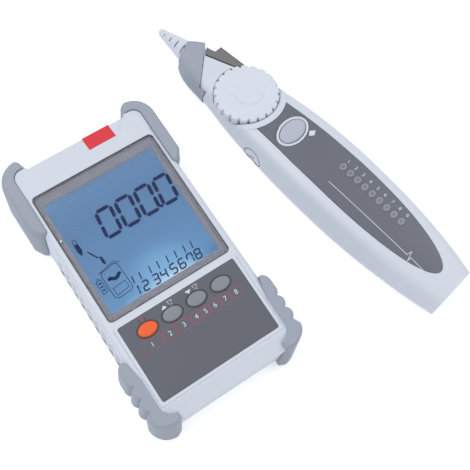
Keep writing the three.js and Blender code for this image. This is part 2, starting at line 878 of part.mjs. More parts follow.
// A modular socket whose mouth faces the way that towards gives, along the length
function socket(x, front, top, towards) {
  const back = front - towards * portDepth;
  const body = block(
    x - portWidth / 2,
    x + portWidth / 2,
    Math.min(front, back),
    Math.max(front, back),
    top - portHeight,
    top,
  );
  const roof = top - portRoof;
  const shelf = roof - plugHeight;
  const step = shelf - latchHeight;
  const floor = step - latchTongueHeight;
  const section = [
    [x - plugWidth / 2, roof],
    [x - plugWidth / 2, shelf],
    [x - latchWidth / 2, shelf],
    [x - latchWidth / 2, step],
    [x - latchTongueWidth / 2, step],
    [x - latchTongueWidth / 2, floor],
    [x + latchTongueWidth / 2, floor],
    [x + latchTongueWidth / 2, step],
    [x + latchWidth / 2, step],
    [x + latchWidth / 2, shelf],
    [x + plugWidth / 2, shelf],
    [x + plugWidth / 2, roof],
  ];
  return cut(body, longPrism(section, front - towards * plugDepth, front + towards * cutOver));
}

// A domed key with a retaining flange under the face and a stem over its switch
function key(x) {
  const halfLength = keyLength / 2;
  const halfWidth = keyWidth / 2;
  const flangeTop = faceUnderside - fitGap;
  const flangeLow = flangeTop - keyFlangeThickness;
  const stemLow = boardTop + switchHeight + keyTravel + fitGap;
  const shoulder = bodyDepth + keyProud - keyCrown;
  const stem = -halfWidth + keyStemWidth / 2;
  const levels = [
    [stemLow, stem],
    [flangeLow, stem],
    [flangeLow, keyFlange],
    [flangeTop, keyFlange],
    [flangeTop, 0],
    [shoulder, 0],
  ];
  for (let step = 1; step <= rimSteps; step += 1) {
    const turn = (step / (rimSteps + 1)) * (Math.PI / 2);
    levels.push([shoulder + keyCrown * Math.sin(turn), -halfWidth * (1 - Math.cos(turn))]);
  }
  const rings = levels.map(([height, grow]) =>
    ellipseOutline(x, keyRow, halfLength + grow, halfWidth + grow, keySegments).map(
      (point) => new THREE.Vector3(point.x, point.y, height),
    ),
  );
  return loft(rings, fromAbove);
}

// Printed keypad cover with a hole for each key
function keypadOverlay() {
  const top = bodyDepth + overlayProud;
  const holes = keyPlaces.map((x) =>
    prism(
      ellipseOutline(x, keyRow, keyLength / 2 + keyRing, keyWidth / 2 + keyRing, keySegments),
      bodyDepth - faceWall,
      bodyDepth + cutOver,
    ),
  );
  return cut(prism(overlayOutline(0), top - overlayThickness, top), ...holes);
}

// A top bumper's blank on the right-hand side, seen from above; it runs on into the housing
const topBumperLow = testerTop - topBumperLength;

function topBumperOutline() {
  const outerX = topHalfWidth + topBumperProud;
  const reachY = testerTop + topBumperReach;
  const arcX = outerX - topBumperOuterRadius;
  const arcY = reachY - topBumperOuterRadius;
  return [
    new THREE.Vector2(topBumperInnerX - bumperRound, topBumperLow),
    new THREE.Vector2(topHalfWidth + bumperLap / 2, topBumperLow),
    new THREE.Vector2(outerX, topBumperLow + topBumperTaper),
    ...arcPoints(arcX, arcY, topBumperOuterRadius, 0, Math.PI / 2, cornerSteps),
    new THREE.Vector2(topBumperInnerX, reachY - bumperRound),
    new THREE.Vector2(topBumperInnerX - bumperRound, testerTop),
  ];
}

// The face area that the top bumpers leave free
function topBumperOpening() {
  const innerX = topHalfWidth - bumperLap;
  const near = topBumperLow - topBumperTaper;
  return roundedOutline(-innerX, innerX, near, testerTop + fitGap, topBumperInnerRadius);
}

// A bottom bumper's blank on the right-hand side, with its finger lobes
const bottomBumperHigh = testerEnd + bottomBumperLength;

function bottomBumperOutline() {
  const outerX = endHalfWidth + bottomBumperProud;
  const reachY = testerEnd - bottomBumperReach;
  const lobeX = outerX - lobeRadius;
  const lobeEdge = Math.asin(lobePitch / 2 / lobeRadius);
  const cornerX = outerX - cornerLobeRadius;
  const cornerY = reachY + cornerLobeRadius;
  const outline = [
    new THREE.Vector2(bottomBumperInnerX, reachY + bumperRound),
    ...arcPoints(cornerX, cornerY, cornerLobeRadius, -Math.PI / 2, 0, cornerSteps + 1),
  ];
  for (let lobe = 0; lobe < lobeCount; lobe += 1) {
    const y = testerEnd + lobeFirstRise + (lobe - 1) * lobePitch;
    outline.push(...arcPoints(lobeX, y, lobeRadius, -lobeEdge, lobeEdge, cornerSteps));
  }
  outline.push(
    new THREE.Vector2(endHalfWidth + bumperLap / 2, bottomBumperHigh),
    new THREE.Vector2(bottomBumperInnerX, bottomBumperHigh),
  );
  return outline;
}

// The face area that the bottom bumpers leave free; it flares at their upper ends
function bottomBumperOpening() {
  const innerX = endHalfWidth - bottomBumperLap;
  const radius = bottomBumperInnerRadius;
  const low = testerEnd + bottomBumperEndLap;
  const rightSide = [
    ...arcPoints(innerX - radius, low + radius, radius, -Math.PI / 2, 0, cornerSteps),
    new THREE.Vector2(innerX, bottomBumperHigh - bottomBumperFlare),
    new THREE.Vector2(endHalfWidth - bumperLap, bottomBumperHigh - bottomBumperTaper),
    new THREE.Vector2(endHalfWidth, bottomBumperHigh),
    new THREE.Vector2(endHalfWidth, bottomBumperHigh + cutOver),
  ];
  return [...rightSide, ...mirrored(rightSide)];
}

// A rubber bumper: its blank with soft rims, less the housing corner that it wraps and the free face
function bumper(outline, opening, topRound, topDrop) {
  const blank = prism(outline, 0, bodyDepth + bumperFaceProud, bumperRound, topRound, topDrop);
  const corner = cut(
    prism(bodyOutline(fitGap), -cutOver, bodyDepth + fitGap, 0, rimRound),
    endSlope(testerEnd, endBevelRun, endBevelDrop, bodyBottomWidth).translate(0, 0, fitGap),
  );
  return cut(blank, corner, prism(opening, 0, bodyDepth + cutOver));
}

// Receiver places along it from the tail, and across its left flank
const handlePartingBend = handleLength - handlePartingBendBack;
const collarRearAlong = handleLength - collarRearBack;
const collarTabAlong = handleLength - collarTabBack;
const collarFrontFoot = handleLength - collarFrontFootBack;
const collarFrontTop = handleLength - collarFrontTopBack;
const collarNoseAlong = handleLength - collarNoseBack;
const neckEnd = handleLength - neckBack;
const tipStart = handleLength - tipStartBack;
const tipApex = handleLength + tipApexAhead;
const antennaStart = handleLength - antennaBack;
const dialAlong = handleLength - dialBack;
const modeAlong = handleLength - modeBack;
const labelWidestAlong = handleLength * labelWidestShare;
const lightFirstAlong = handleLength * lightFirstShare;
const lightPitch = handleLength * lightPitchShare;
const lightWidth = lightPitch - lightSpacing;
const leverRearAlong = handleLength - leverRearBack;
const leverBendAlong = handleLength - leverBendBack;
const leverFinStart = handleLength - leverFinStartBack;
const leverFinEnd = handleLength - leverFinEndBack;
const receiverBoardEnd = modeAlong + receiverBoardPastMode;
const earSocketAlong = handleLength - earSocketBack;
const earSocketInner = handleHalfWidth - earSocketInset;
const earBarrelInner = handleHalfWidth - earBarrelInset;
const earBoreInner = handleHalfWidth - earBoreInset;

// The receiver's profile at a distance along it, read smoothly from the shares
function handleProfile(along) {
  const at = along / handleLength;
  const rows = handleProfileShares;
  let row = 0;
  while (row < rows.length - 2 && at > rows[row + 1][0]) row += 1;
  const slope = (index, column) => {
    const before = rows[Math.max(index - 1, 0)];
    const after = rows[Math.min(index + 1, rows.length - 1)];
    return (after[column] - before[column]) / (after[0] - before[0]);
  };
  const span = rows[row + 1][0] - rows[row][0];
  const t = THREE.MathUtils.clamp((at - rows[row][0]) / span, 0, 1);
  const [halfWidth, height] = [1, 2].map((column) => {
    const from = rows[row][column];
    const to = rows[row + 1][column];
    const leave = slope(row, column) * span;
    const arrive = slope(row + 1, column) * span;
    const squared = t * t;
    const cubed = squared * t;
    return (
      from * (2 * cubed - 3 * squared + 1) +
      leave * (cubed - 2 * squared + t) +
      to * (3 * squared - 2 * cubed) +
      arrive * (cubed - squared)
    );
  });
  return { halfWidth: halfWidth * handleHalfWidth, height: height * handleHeight };
}

// One cross-section of the receiver, grown all round: flat foot, leaning sides, round shoulders, crowned top
function handleSection(along, grow) {
  const profile = handleProfile(along);
  const half = profile.halfWidth + grow;
  const high = profile.height + grow;
  const low = -grow;
  const footRound = Math.min(handleFootRound + grow, half / 2, (high - low) / 3);
  const shoulder = Math.min(handleShoulderRound + grow, half / 2, (high - low) / 3);
  const crown = (handleCrown * half) / handleHalfWidth;
  const tuck = tailFootTuck * Math.max(1 - along / tailFootEase, 0);
  const footHalf = half - handleFootLean - tuck;
  const shoulderHalf = half - handleSideLean;
  const rightSide = [
    ...arcPoints(footHalf - footRound, low + footRound, footRound, -Math.PI / 2, 0, rimSteps - 1),
    new THREE.Vector2(half, Math.min(handleWaistHeight, (low + high) / 2)),
    ...arcPoints(
      shoulderHalf - shoulder,
      high - crown - shoulder,
      shoulder,
      0,
      Math.PI / 2,
      rimSteps,
    ),
    new THREE.Vector2((shoulderHalf - shoulder) / 2, high - crown / 4),
  ];
  const leftSide = mirrored(rightSide);
  return [...rightSide, new THREE.Vector2(0, high), ...leftSide];
}

// The receiver's outer form between two distances along it, grown all round
function handleForm(near, far, grow) {
  const stations = [near];
  const first = Math.floor(near / handleStep + 1 / 2) + 1;
  for (let station = first; station * handleStep < far - handleStep / 2; station += 1) {
    stations.push(station * handleStep);
  }
  stations.push(far);
  const rings = stations.map((along) =>
    handleSection(along, grow).map((point) => new THREE.Vector3(point.x, along, point.y)),
  );
  return loft(rings, fromTheEnd);
}

// Space ahead of the collar's rear edge, bigger by grow: the edge runs on a slant over the top of the
// handle, and a tab reaches back down the left flank
const collarRearAt = (across) => collarRearAlong + across * Math.tan(collarRearTurn);

function aheadOfCollarRear(grow) {
  const wide = handleHalfWidth + cutOver;
  const plan = [
    new THREE.Vector2(wide, collarRearAt(wide)),
    new THREE.Vector2(wide, tipApex),
    new THREE.Vector2(-wide, tipApex),
    new THREE.Vector2(-wide, collarTabAlong),
    new THREE.Vector2(-collarTabAcross, collarTabAlong),
    new THREE.Vector2(-collarTabAcross, collarRearAt(-collarTabAcross)),
  ];
  return prism(insetOutline(plan, -grow), -cutOver, handleHeight + cutOver);
}

// Space ahead of the collar's front face, which leans back towards its foot and turns to the left
function aheadOfCollarFront() {
  const wide = handleHalfWidth + cutOver;
  const slope = (collarFrontTop - collarFrontFoot) / handleProfile(collarFrontTop).height;
  return crossPrism(
    [
      [-slope * cutOver, -cutOver],
      [handleHeight, -cutOver],
      [handleHeight, handleHeight],
      [slope * handleHeight, handleHeight],
    ],
    -wide,
    wide,
  )
    .rotate(0, 0, THREE.MathUtils.radToDeg(collarFrontTurn))
    .translate(0, collarFrontFoot, 0);
}

// Space above the parting line, which dips towards the nose
function abovePartingLine(shift) {
  const near = -tailLean - cutOver;
  const far = tipApex + cutOver;
  const high = handleHeight + cutOver;
  return crossPrism(
    [
      [near, handleParting + shift],
      [handlePartingBend, handleParting + shift],
      [handleLength, handleNoseParting + shift],
      [far, handleNoseParting + shift],
      [far, high],
      [near, high],
    ],
    -handleHalfWidth - cutOver,
    handleHalfWidth + cutOver,
  );
}

// Space behind the tail face, which leans back towards its foot
function behindTail(shift) {
  const slope = tailLean / handleHeight;
  const back = -tailLean - cutOver - cutOver;
  const high = handleHeight + cutOver;
  return crossPrism(
    [
      [back, -cutOver],
      [-tailLean + shift - slope * cutOver, -cutOver],
      [shift + slope * cutOver, high],
      [back, high],
    ],
    -handleHalfWidth - cutOver,
    handleHalfWidth + cutOver,
  );
}

// Frames for tilted pieces: the dial's axis and the nose cone's axis
const dialPlace = new THREE.Matrix4().makeRotationX(-dialTilt);
dialPlace.setPosition(0, dialAlong, dialTopHeight);
const tipRun = tipApex - tipApexRadius - tipStart;
const tipDrop = tipStartHeight - tipApexRadius - tipApexClearance;
const tipLength = Math.hypot(tipRun, tipDrop);
const tipPlace = new THREE.Matrix4().makeRotationX(-Math.PI / 2 - Math.atan2(tipDrop, tipRun));
tipPlace.setPosition(0, tipStart, tipStartHeight);

// The pocket that the dial sits in, bigger by grow
function dialPocket(grow) {
  const radius = dialRadius + dialPocketGap + grow;
  const floor = -dialThickness - fitGap - grow;
  const profile = [[0, floor], [radius, floor], [radius, dialRadius], [0, dialRadius]];
  return turned(profile, dialSegments / 2, dialPlace);
}

// The nose cone with its round end and the spigot behind it, bigger by grow
function tipForm(grow) {
  const profile = [
    [0, -spigotLength],
    [spigotRadius + grow, -spigotLength],
    [spigotRadius + grow, 0],
    [tipStartRadius + grow, 0],
  ];
  const lean = Math.asin((tipStartRadius - tipApexRadius) / tipLength);
  for (let step = 0; step <= cornerSteps; step += 1) {
    const turn = lean + ((Math.PI / 2 - lean) * step) / cornerSteps;
    const radius = (tipApexRadius + grow) * Math.cos(turn);
    profile.push([step < cornerSteps ? radius : 0, tipLength + (tipApexRadius + grow) * Math.sin(turn)]);
  }
  return turned(profile, roundSegments, tipPlace);
}

// The bore that holds the antenna rod, from the neck into the cone
const antennaFar = tipLength - antennaEndMargin;
const antennaNear = antennaStart - tipStart;

function antennaForm(grow) {
  const profile = [
    [0, antennaNear - grow],
    [antennaRadius + grow, antennaNear - grow],
    [antennaRadius + grow, antennaFar + grow],
    [0, antennaFar + grow],
  ];
  return turned(profile, keySegments / 2, tipPlace);
}

function probeTip() {
  const slots = [];
  for (let slot = 0; slot < tipSlotCount; slot += 1) {
    const height = tipLength + tipApexRadius - tipSlotFirst - slot * tipSlotPitch;
    const lean = (tipStartRadius - tipApexRadius) / tipLength;
    const surface = tipApexRadius + lean * (tipLength - height);
    const half = (tipSlotFirstLength + slot * tipSlotGrowth) / 2;
    const geometry = new THREE.BoxGeometry(half + half, tipSlotDepth * 2, tipSlotWidth);
    geometry.translate(0, -surface, height);
    geometry.applyMatrix4(tipPlace);
    slots.push(solid(geometry));
  }
  return cut(tipForm(0), antennaForm(fitGap), ...slots);
}

// The side lever's room in plan: its inner edge runs from the rear pivot to the collar
const leverFrontAlong = collarRearAt(leverFrontAcross);

function leverPlan(gapRear, gapFront) {
  const outer = handleHalfWidth + cutOver;
  return [
    new THREE.Vector2(leverRearAcross - gapRear, leverRearAlong - gapRear),
    new THREE.Vector2(outer, leverRearAlong - gapRear),
    new THREE.Vector2(outer, handleLength),
    new THREE.Vector2(leverFrontAcross - gapFront, handleLength),
    new THREE.Vector2(leverFrontAcross - gapFront, leverFrontAlong),
    new THREE.Vector2(leverBendAcross - gapFront, leverBendAlong),
  ];
}

const leverPivotAcross = leverRearAcross + leverPivotInset / 2;
const leverPivotAlong = leverRearAlong + leverPivotInset;
const leverTravel = (leverFrontAlong - leverPivotAlong) * Math.sin(leverSwing);
const leverEndGap = fitGap + leverTravel * Math.sin(collarRearTurn);

function leverPocket() {
  const room = prism(leverPlan(fitGap, fitGap + leverTravel), leverLow - fitGap, handleHeight + cutOver);
  return cut(room, aheadOfCollarRear(0));
}

// The lever: a wedge along the flank, a slim neck that runs under the collar's edge and a fin for the thumb
function sideLever() {
  const cheek = handleForm(leverRearAlong - cutOver, handleLength, 0).translate(0, 0, -leverSink);
  const room = prism(leverPlan(0, 0), leverLow, handleHeight);
  const fin = prism(
    [
      new THREE.Vector2(leverBendAcross, leverFinStart),
      new THREE.Vector2(leverFinRearAcross, leverFinStart),
      new THREE.Vector2(leverFinFrontAcross, leverFinEnd),
      new THREE.Vector2(leverFrontAcross, leverFinEnd),
    ],
    leverLow,
    leverFinTop,
  );
  const beside = prism(
    [
      new THREE.Vector2(leverBendAcross + leverNeckWidth, leverBendAlong),
      new THREE.Vector2(handleHalfWidth + cutOver, leverBendAlong),
      new THREE.Vector2(handleHalfWidth + cutOver, handleLength),
      new THREE.Vector2(leverFrontAcross + leverNeckWidth, handleLength),
      new THREE.Vector2(leverFrontAcross + leverNeckWidth, leverFrontAlong),
    ],
    0,
    handleHeight,
  );
  return cut(
    join(cut(cheek, beside), fin).intersect(room),
    aheadOfCollarRear(leverEndGap),
    tipForm(fitGap + leverTravel),
    dialPocket(fitGap + leverTravel / 2),
  );
}

// Label outline in plan: round towards the tail, hollowed towards the dial
function labelOutline(grow) {
  const near = labelTailMargin - grow;
  const rightSide = [];
  const steps = cornerSteps * 2;
  for (let step = 1; step <= steps; step += 1) {
    const share = step / steps;
    const along = near + (labelWidestAlong - near) * share * share;
    const rest = (labelWidestAlong - along) / (labelWidestAlong - near);
    const width = (labelHalfWidth + grow) * Math.pow(1 - Math.pow(rest, labelRoundPower), 1 / 2);
    rightSide.push(new THREE.Vector2(width, along));
  }
  const arcRadius = dialRadius + dialPocketGap + crescentWidth - grow;
  const endHalf = labelEndHalfWidth + grow;
  const edge = Math.asin(endHalf / arcRadius);
  const widening = labelWidestAlong + (dialAlong - arcRadius - labelWidestAlong) / 2;
  rightSide.push(new THREE.Vector2(labelHalfWidth + grow - (labelHalfWidth - labelEndHalfWidth) / 4, widening));
  for (let step = 0; step < cornerSteps; step += 1) {
    const angle = edge * (1 - step / cornerSteps);
    rightSide.push(
      new THREE.Vector2(arcRadius * Math.sin(angle), dialAlong - arcRadius * Math.cos(angle)),
    );
  }
  return [
    new THREE.Vector2(0, near),
    ...rightSide,
    new THREE.Vector2(0, dialAlong - arcRadius),
    ...mirrored(rightSide),
  ];
}

const modeOutline = (length, width, grow) =>
  ellipseOutline(0, modeAlong, length / 2 + grow, width / 2 + grow, roundSegments);

// Where the signal lights stand, and a hole for each, bigger by grow
function lightHoles(grow, low, high) {
  const holes = [];
  for (let light = 0; light < lightCount; light += 1) {
    const along = lightFirstAlong + light * lightPitch;
    const outline = ellipseOutline(lightAcross, along, lightLength / 2 + grow, lightWidth / 2 + grow, lightSegments);
    holes.push(prism(outline, low, high));
  }
  return holes;
}

const labelFar = dialAlong - dialRadius;
const labelSkin = (lift) => handleForm(labelTailMargin - cutOver, labelFar + cutOver, 0).translate(0, 0, lift);

function receiverOverlay() {
  const skin = cut(prism(labelOutline(0), handleParting, handleHeight + cutOver), labelSkin(-labelThickness));
  return cut(
    skin.intersect(labelSkin(0)),
    prism(modeOutline(modeRingLength, modeRingWidth, fitGap), handleParting, handleHeight + cutOver),
    ...lightHoles(fitGap, handleParting, handleHeight + cutOver),
  );
}

// A raised crescent behind the dial
function dialCrescent() {
  const outer = dialRadius + dialPocketGap + crescentWidth;
  return handleForm(dialAlong - outer - cutOver, dialAlong - dialRadius / 2, 0)
    .translate(0, 0, crescentProud)
    .intersect(upright(0, dialAlong, outer, handleParting, handleHeight, dialSegments / 2));
}

// A round solid that lies across the left flank on the earphone socket's axis
const earPlace = new THREE.Matrix4().makeRotationY(-Math.PI / 2);
earPlace.setPosition(0, earSocketAlong, earSocketHeight);
const acrossFlank = (radius, inner, outer) =>
  turned([[0, inner], [radius, inner], [radius, outer], [0, outer]], roundSegments, earPlace);

function earphoneSocket() {
  const reach = earSocketRadius + cutOver;
  const skin = handleForm(earSocketAlong - reach, earSocketAlong + reach, 0);
  const face = acrossFlank(earSocketRadius, earSocketInner, handleHalfWidth).intersect(skin);
  const barrel = acrossFlank(earBarrelRadius, earBarrelInner, earSocketInner + handleWall / 2);
  return cut(join(face, barrel), acrossFlank(earBoreRadius, earBoreInner, handleHalfWidth + cutOver));
}

// The receiver's housing before it is parted: body, neck inside the collar, hollow and pockets
const neckGrow = collarProud - collarThickness - fitGap;
const cavityStart = handleWall + tailRecessDepth;
const cavityEnd = leverBendAlong - cutOver;

function receiverHousing() {
  const form = cut(
    handleForm(-tailLean - cutOver, handleLength, 0),
    behindTail(0),
    aheadOfCollarRear(fitGap),
  );
  const neck = handleForm(collarTabAlong - collarThickness * 2, neckEnd, neckGrow);
  const cavity = cut(handleForm(cavityStart, cavityEnd, -handleWall), dialPocket(dialPocketFloor));
  const leverShield = prism(leverPlan(handleWall, handleWall + leverTravel), leverLow - handleWall, handleHeight);
  return cut(
    join(form, neck, dialCrescent()),
    cut(cavity, leverShield),
    dialPocket(0),
    leverPocket(),
    tipForm(fitGap),
    antennaForm(fitGap),
    turned([[0, -dialRadius], [spindleRadius + fitGap, -dialRadius], [spindleRadius + fitGap, 0], [0, 0]], keySegments, dialPlace),
    acrossFlank(earSocketRadius + fitGap, earSocketInner - fitGap, handleHalfWidth + cutOver),
  );
}

const receiverPortTop = receiverBoardLow - fitGap;
const receiverPortLow = receiverPortTop - portHeight;
const receiverPortFront = tailRecessDepth;

function tailRecess() {
  const half = tailRecessWidth / 2;
  const band = block(-half, half, -tailLean - cutOver, handleWall, tailRecessFoot, tailRecessTop);
  return join(
    band.intersect(behindTail(tailRecessDepth)),
    block(
      -portWidth / 2 - fitGap,
      portWidth / 2 + fitGap,
      -tailLean - cutOver,
      receiverPortFront + portDepth,
      receiverPortLow - fitGap,
      receiverPortTop + fitGap,
    ),
  );
}

const receiverScrewPlaces = [
  [handleScrewRearAcross, handleScrewRearAlong],
  [-handleScrewRearAcross, handleScrewRearAlong],
  [handleScrewFrontAcross, handleScrewFrontAlong],
  [-handleScrewFrontAcross, handleScrewFrontAlong],
];
const receiverScrewTop = handleParting + screwBite;

// A screw boss with a web that ties it to the side wall
function bossOnWall(x, y, low, high) {
  const way = Math.sign(x);
  const wall = x + way * handleHalfWidth / 2;
  const web = block(Math.min(x, wall), Math.max(x, wall), y - handleWall / 2, y + handleWall / 2, low, high);
  return join(upright(x, y, screwPostRadius, low, high), web).intersect(
    handleForm(cavityStart, cavityEnd, -handleWall / 2),
  );
}

// Upper receiver shell, with the label bed, key and light holes and screw bosses
function receiverUpper(housing) {
  const bosses = receiverScrewPlaces.map(([x, y]) => bossOnWall(x, y, handleParting, receiverBoardLow - fitGap));
  const bores = receiverScrewPlaces.map(([x, y]) =>
    upright(x, y, screwShankRadius + fitGap, 0, receiverScrewTop + fitGap, screwSegments),
  );
  return cut(
    join(housing, ...bosses).intersect(abovePartingLine(fitGap / 2)),
    cut(
      prism(labelOutline(fitGap), handleParting, handleHeight + cutOver),
      labelSkin(-labelThickness - labelBed),
    ),
    prism(modeOutline(modeRingLength, modeRingWidth, fitGap), handleParting, handleHeight + cutOver),
    ...lightHoles(fitGap, handleParting, handleHeight + cutOver),
    ...bores,
    tailRecess(),
  );
}

// Lower receiver shell, with the battery tray ribs, doorway, sound holes and screw wells
const blockLow = doorRecess + doorThickness + fitGap;
const blockEnd = blockStart + blockLength;
const snapStart = blockEnd + studHeight + fitGap;
const trayEnd = snapStart + snapThickness + fitGap;

function receiverLower(housing) {
  const trayRibs = [blockStart - fitGap - trayWall, trayEnd].map((along) =>
    block(-handleHalfWidth, handleHalfWidth, along, along + trayWall, handleWall / 2, handleParting).intersect(
      handleForm(cavityStart, cavityEnd, -handleWall / 2),
    ),
  );
  const posts = receiverScrewPlaces.map(([x, y]) => bossOnWall(x, y, handleWall / 2, handleParting));
  const doorway = join(
    longPrism(doorSection(handleDoorHalfWidth, fitGap), -tailLean - cutOver, trayEnd + fitGap),
    block(
      -handleDoorHalfWidth - fitGap,
      handleDoorHalfWidth + fitGap,
      -tailLean - cutOver,
      trayEnd + fitGap,
      -cutOver,
      doorRecess,
    ),
    block(
      -blockWidth / 2 - fitGap,
      blockWidth / 2 + fitGap,
      blockStart - fitGap,
      trayEnd,
      doorRecess,
      handleWall + fitGap,
    ),
  );
  const soundHoles = [upright(0, speakerAlong, soundHoleRadius, -cutOver, handleWall + cutOver, screwSegments)];
  for (let hole = 0; hole < soundHoleCount; hole += 1) {
    const angle = (hole / soundHoleCount) * 2 * Math.PI;
    const x = soundHoleRing * Math.cos(angle);
    const y = speakerAlong + soundHoleRing * Math.sin(angle);
    soundHoles.push(upright(x, y, soundHoleRadius, -cutOver, handleWall + cutOver, screwSegments));
  }
  const wells = receiverScrewPlaces.map(([x, y]) => screwWell(x, y, 0, handleParting + cutOver));
  return cut(
    cut(join(housing, ...trayRibs, ...posts), abovePartingLine(-fitGap / 2)),
    doorway,
    ...soundHoles,
    ...wells,
    tailRecess(),
  );
}

// Its sliding battery door, whose underside follows the handle's rounded foot
function receiverDoor() {
  const near = -tailLean - cutOver;
  const plate = longPrism(doorSection(handleDoorHalfWidth, 0), near, trayEnd).intersect(
    handleForm(near, trayEnd + cutOver, 0),
  );
  const ribs = [];
  for (let rib = 0; rib < doorRibCount; rib += 1) {
    const along = handleFootRound + rib * doorRibPitch;
    ribs.push(
      block(-doorRibLength / 2, doorRibLength / 2, along, along + doorRibWidth, -cutOver, doorRecess + doorRibDepth),
    );
  }
  return cut(plate, behindTail(0), ...ribs);
}

// Rubber collar: a slanted band round the neck, drawn in on the right, that also holds the cone
function tipCollar() {
  const band = cut(
    handleForm(collarTabAlong - cutOver, handleLength + cutOver, collarProud).intersect(aheadOfCollarRear(0)),
    aheadOfCollarFront(),
  );
  const ground = block(
    -handleHalfWidth - cutOver,
    handleHalfWidth + cutOver,
    0,
    tipApex,
    -cutOver,
    0,
  );
  const rightNose = prism(
    [
      new THREE.Vector2(collarNoseAcross, collarNoseAlong),
      new THREE.Vector2(handleHalfWidth, collarNoseAlong),
      new THREE.Vector2(handleHalfWidth, tipApex),
      new THREE.Vector2(collarNoseAcross - (tipApex - collarNoseAlong) * Math.tan(collarNoseTurn), tipApex),
    ],
    -cutOver,
    handleHeight,
  );
  return cut(
    band,
    ground,
    rightNose,
    handleForm(collarTabAlong - cutOver * 2, neckEnd + fitGap, collarProud - collarThickness),
    tipForm(fitGap),
  );
}

// Dial with notches round its rim, a softened edge, a low step and a hub bore
function sensitivityDial() {
  const rim = [];
  const notchHalf = dialNotchRadius / dialRadius;
  for (let notch = 0; notch < dialNotchCount; notch += 1) {
    const middle = (notch / dialNotchCount) * 2 * Math.PI;
    const next = middle + (2 * Math.PI) / dialNotchCount;
    rim.push(new THREE.Vector2(dialRadius, 0).rotateAround(new THREE.Vector2(), middle - notchHalf));
    rim.push(new THREE.Vector2(dialRadius - dialNotchRadius, 0).rotateAround(new THREE.Vector2(), middle));
    rim.push(new THREE.Vector2(dialRadius, 0).rotateAround(new THREE.Vector2(), middle + notchHalf));
    rim.push(new THREE.Vector2(dialRadius, 0).rotateAround(new THREE.Vector2(), (middle + next) / 2));
  }
  const levels = [
    [-dialThickness, 0],
    [-dialStepHeight - dialRimRound, 0],
    [-dialStepHeight, dialRimRound],
  ];
  const rings = levels.map(([height, inset]) =>
    insetOutline(rim, inset).map((point) => new THREE.Vector3(point.x, point.y, height).applyMatrix4(dialPlace)),
  );
  const step = turned(
    [
      [0, -dialThickness / 2],
      [dialStepRadius + dialStepHeight, -dialThickness / 2],
      [dialStepRadius + dialStepHeight, -dialStepHeight],
      [dialStepRadius, 0],
      [0, 0],
    ],
    dialSegments / 2,
    dialPlace,
  );
  const bore = turned(
    [
      [0, -dialThickness - cutOver],
      [spindleRadius + fitGap, -dialThickness - cutOver],
      [spindleRadius + fitGap, -spindleSeat + fitGap],
      [0, -spindleSeat + fitGap],
    ],
    keySegments,
    dialPlace,
  );
  return cut(join(loft(rings, fromAbove), step), bore);
}

// The dial's spindle runs down through the control's body
const potTop = -dialThickness - fitGap - dialPocketFloor - fitGap;
const potLow = -dialTopHeight + handleWall + potRadius * Math.sin(dialTilt) + fitGap;

function dialSpindle() {
  const low = potLow + potRadius / 4;
  return turned(
    [[0, low], [spindleRadius, low], [spindleRadius, -spindleSeat], [0, -spindleSeat]],
    keySegments,
    dialPlace,
  );
}

function dialControl() {
  const body = turned([[0, potLow], [potRadius, potLow], [potRadius, potTop], [0, potTop]], roundSegments, dialPlace);
  const boreLow = potLow + potRadius / 4 - fitGap;
  const bore = turned(
    [
      [0, boreLow],
      [spindleRadius + runningGap, boreLow],
      [spindleRadius + runningGap, potTop + cutOver],
      [0, potTop + cutOver],
    ],
    keySegments,
    dialPlace,
  );
  return cut(body, bore);
}

// Mode key ring and the domed mode key inside it
const modeFace = handleProfile(modeAlong).height;

function modeRing() {
  const low = Math.max(modeFace - modeRingHeight, receiverBoardLow + receiverBoardThickness + fitGap);
  return cut(
    prism(modeOutline(modeRingLength, modeRingWidth, 0), low, modeFace + modeRingProud, 0, modeRingProud),
    prism(modeOutline(modeKeyLength, modeKeyWidth, fitGap), low - cutOver, handleHeight + cutOver),
  );
}

function modeKey() {
  const low = receiverBoardLow + receiverBoardThickness + modeKeyTravel + fitGap;
  const shoulder = modeFace + modeKeyProud - modeKeyCrown;
  const levels = [[low, 0], [shoulder, 0]];
  for (let step = 1; step <= rimSteps; step += 1) {
    const turn = (step / (rimSteps + 1)) * (Math.PI / 2);
    levels.push([shoulder + modeKeyCrown * Math.sin(turn), -(modeKeyWidth / 2) * (1 - Math.cos(turn))]);
  }
  const rings = levels.map(([height, grow]) =>
    modeOutline(modeKeyLength, modeKeyWidth, grow).map((point) => new THREE.Vector3(point.x, point.y, height)),
  );
  return loft(rings, fromAbove);
}

// Light strip: nine oval lenses that stand on one clear bar over the board
function lightStrip() {
  const low = receiverBoardLow + receiverBoardThickness + fitGap;
  const far = lightFirstAlong + (lightCount - 1) * lightPitch + lightWidth;
  const bar = block(
    lightAcross - lightStripWidth / 2,
    lightAcross + lightStripWidth / 2,
    lightFirstAlong - lightWidth,
    far,
    low,
    low + lightStripThickness,
  );
  const lenses = lightHoles(0, low, handleHeight + cutOver).map((lens) => lens.intersect(labelSkin(lightProud)));
  return join(bar, ...lenses);
}

function receiverBoard() {
  const low = receiverBoardLow;
  const half = receiverBoardWidth / 2;
  const tailHalf = portWidth / 2 + fitGap;
  const shoulder = receiverPortFront + portDepth;
  const high = low + receiverBoardThickness;
  return join(
    block(-tailHalf, tailHalf, receiverBoardStart, receiverBoardEnd, low, high),
    block(-half, half, shoulder, receiverBoardEnd, low, high),
  );
}

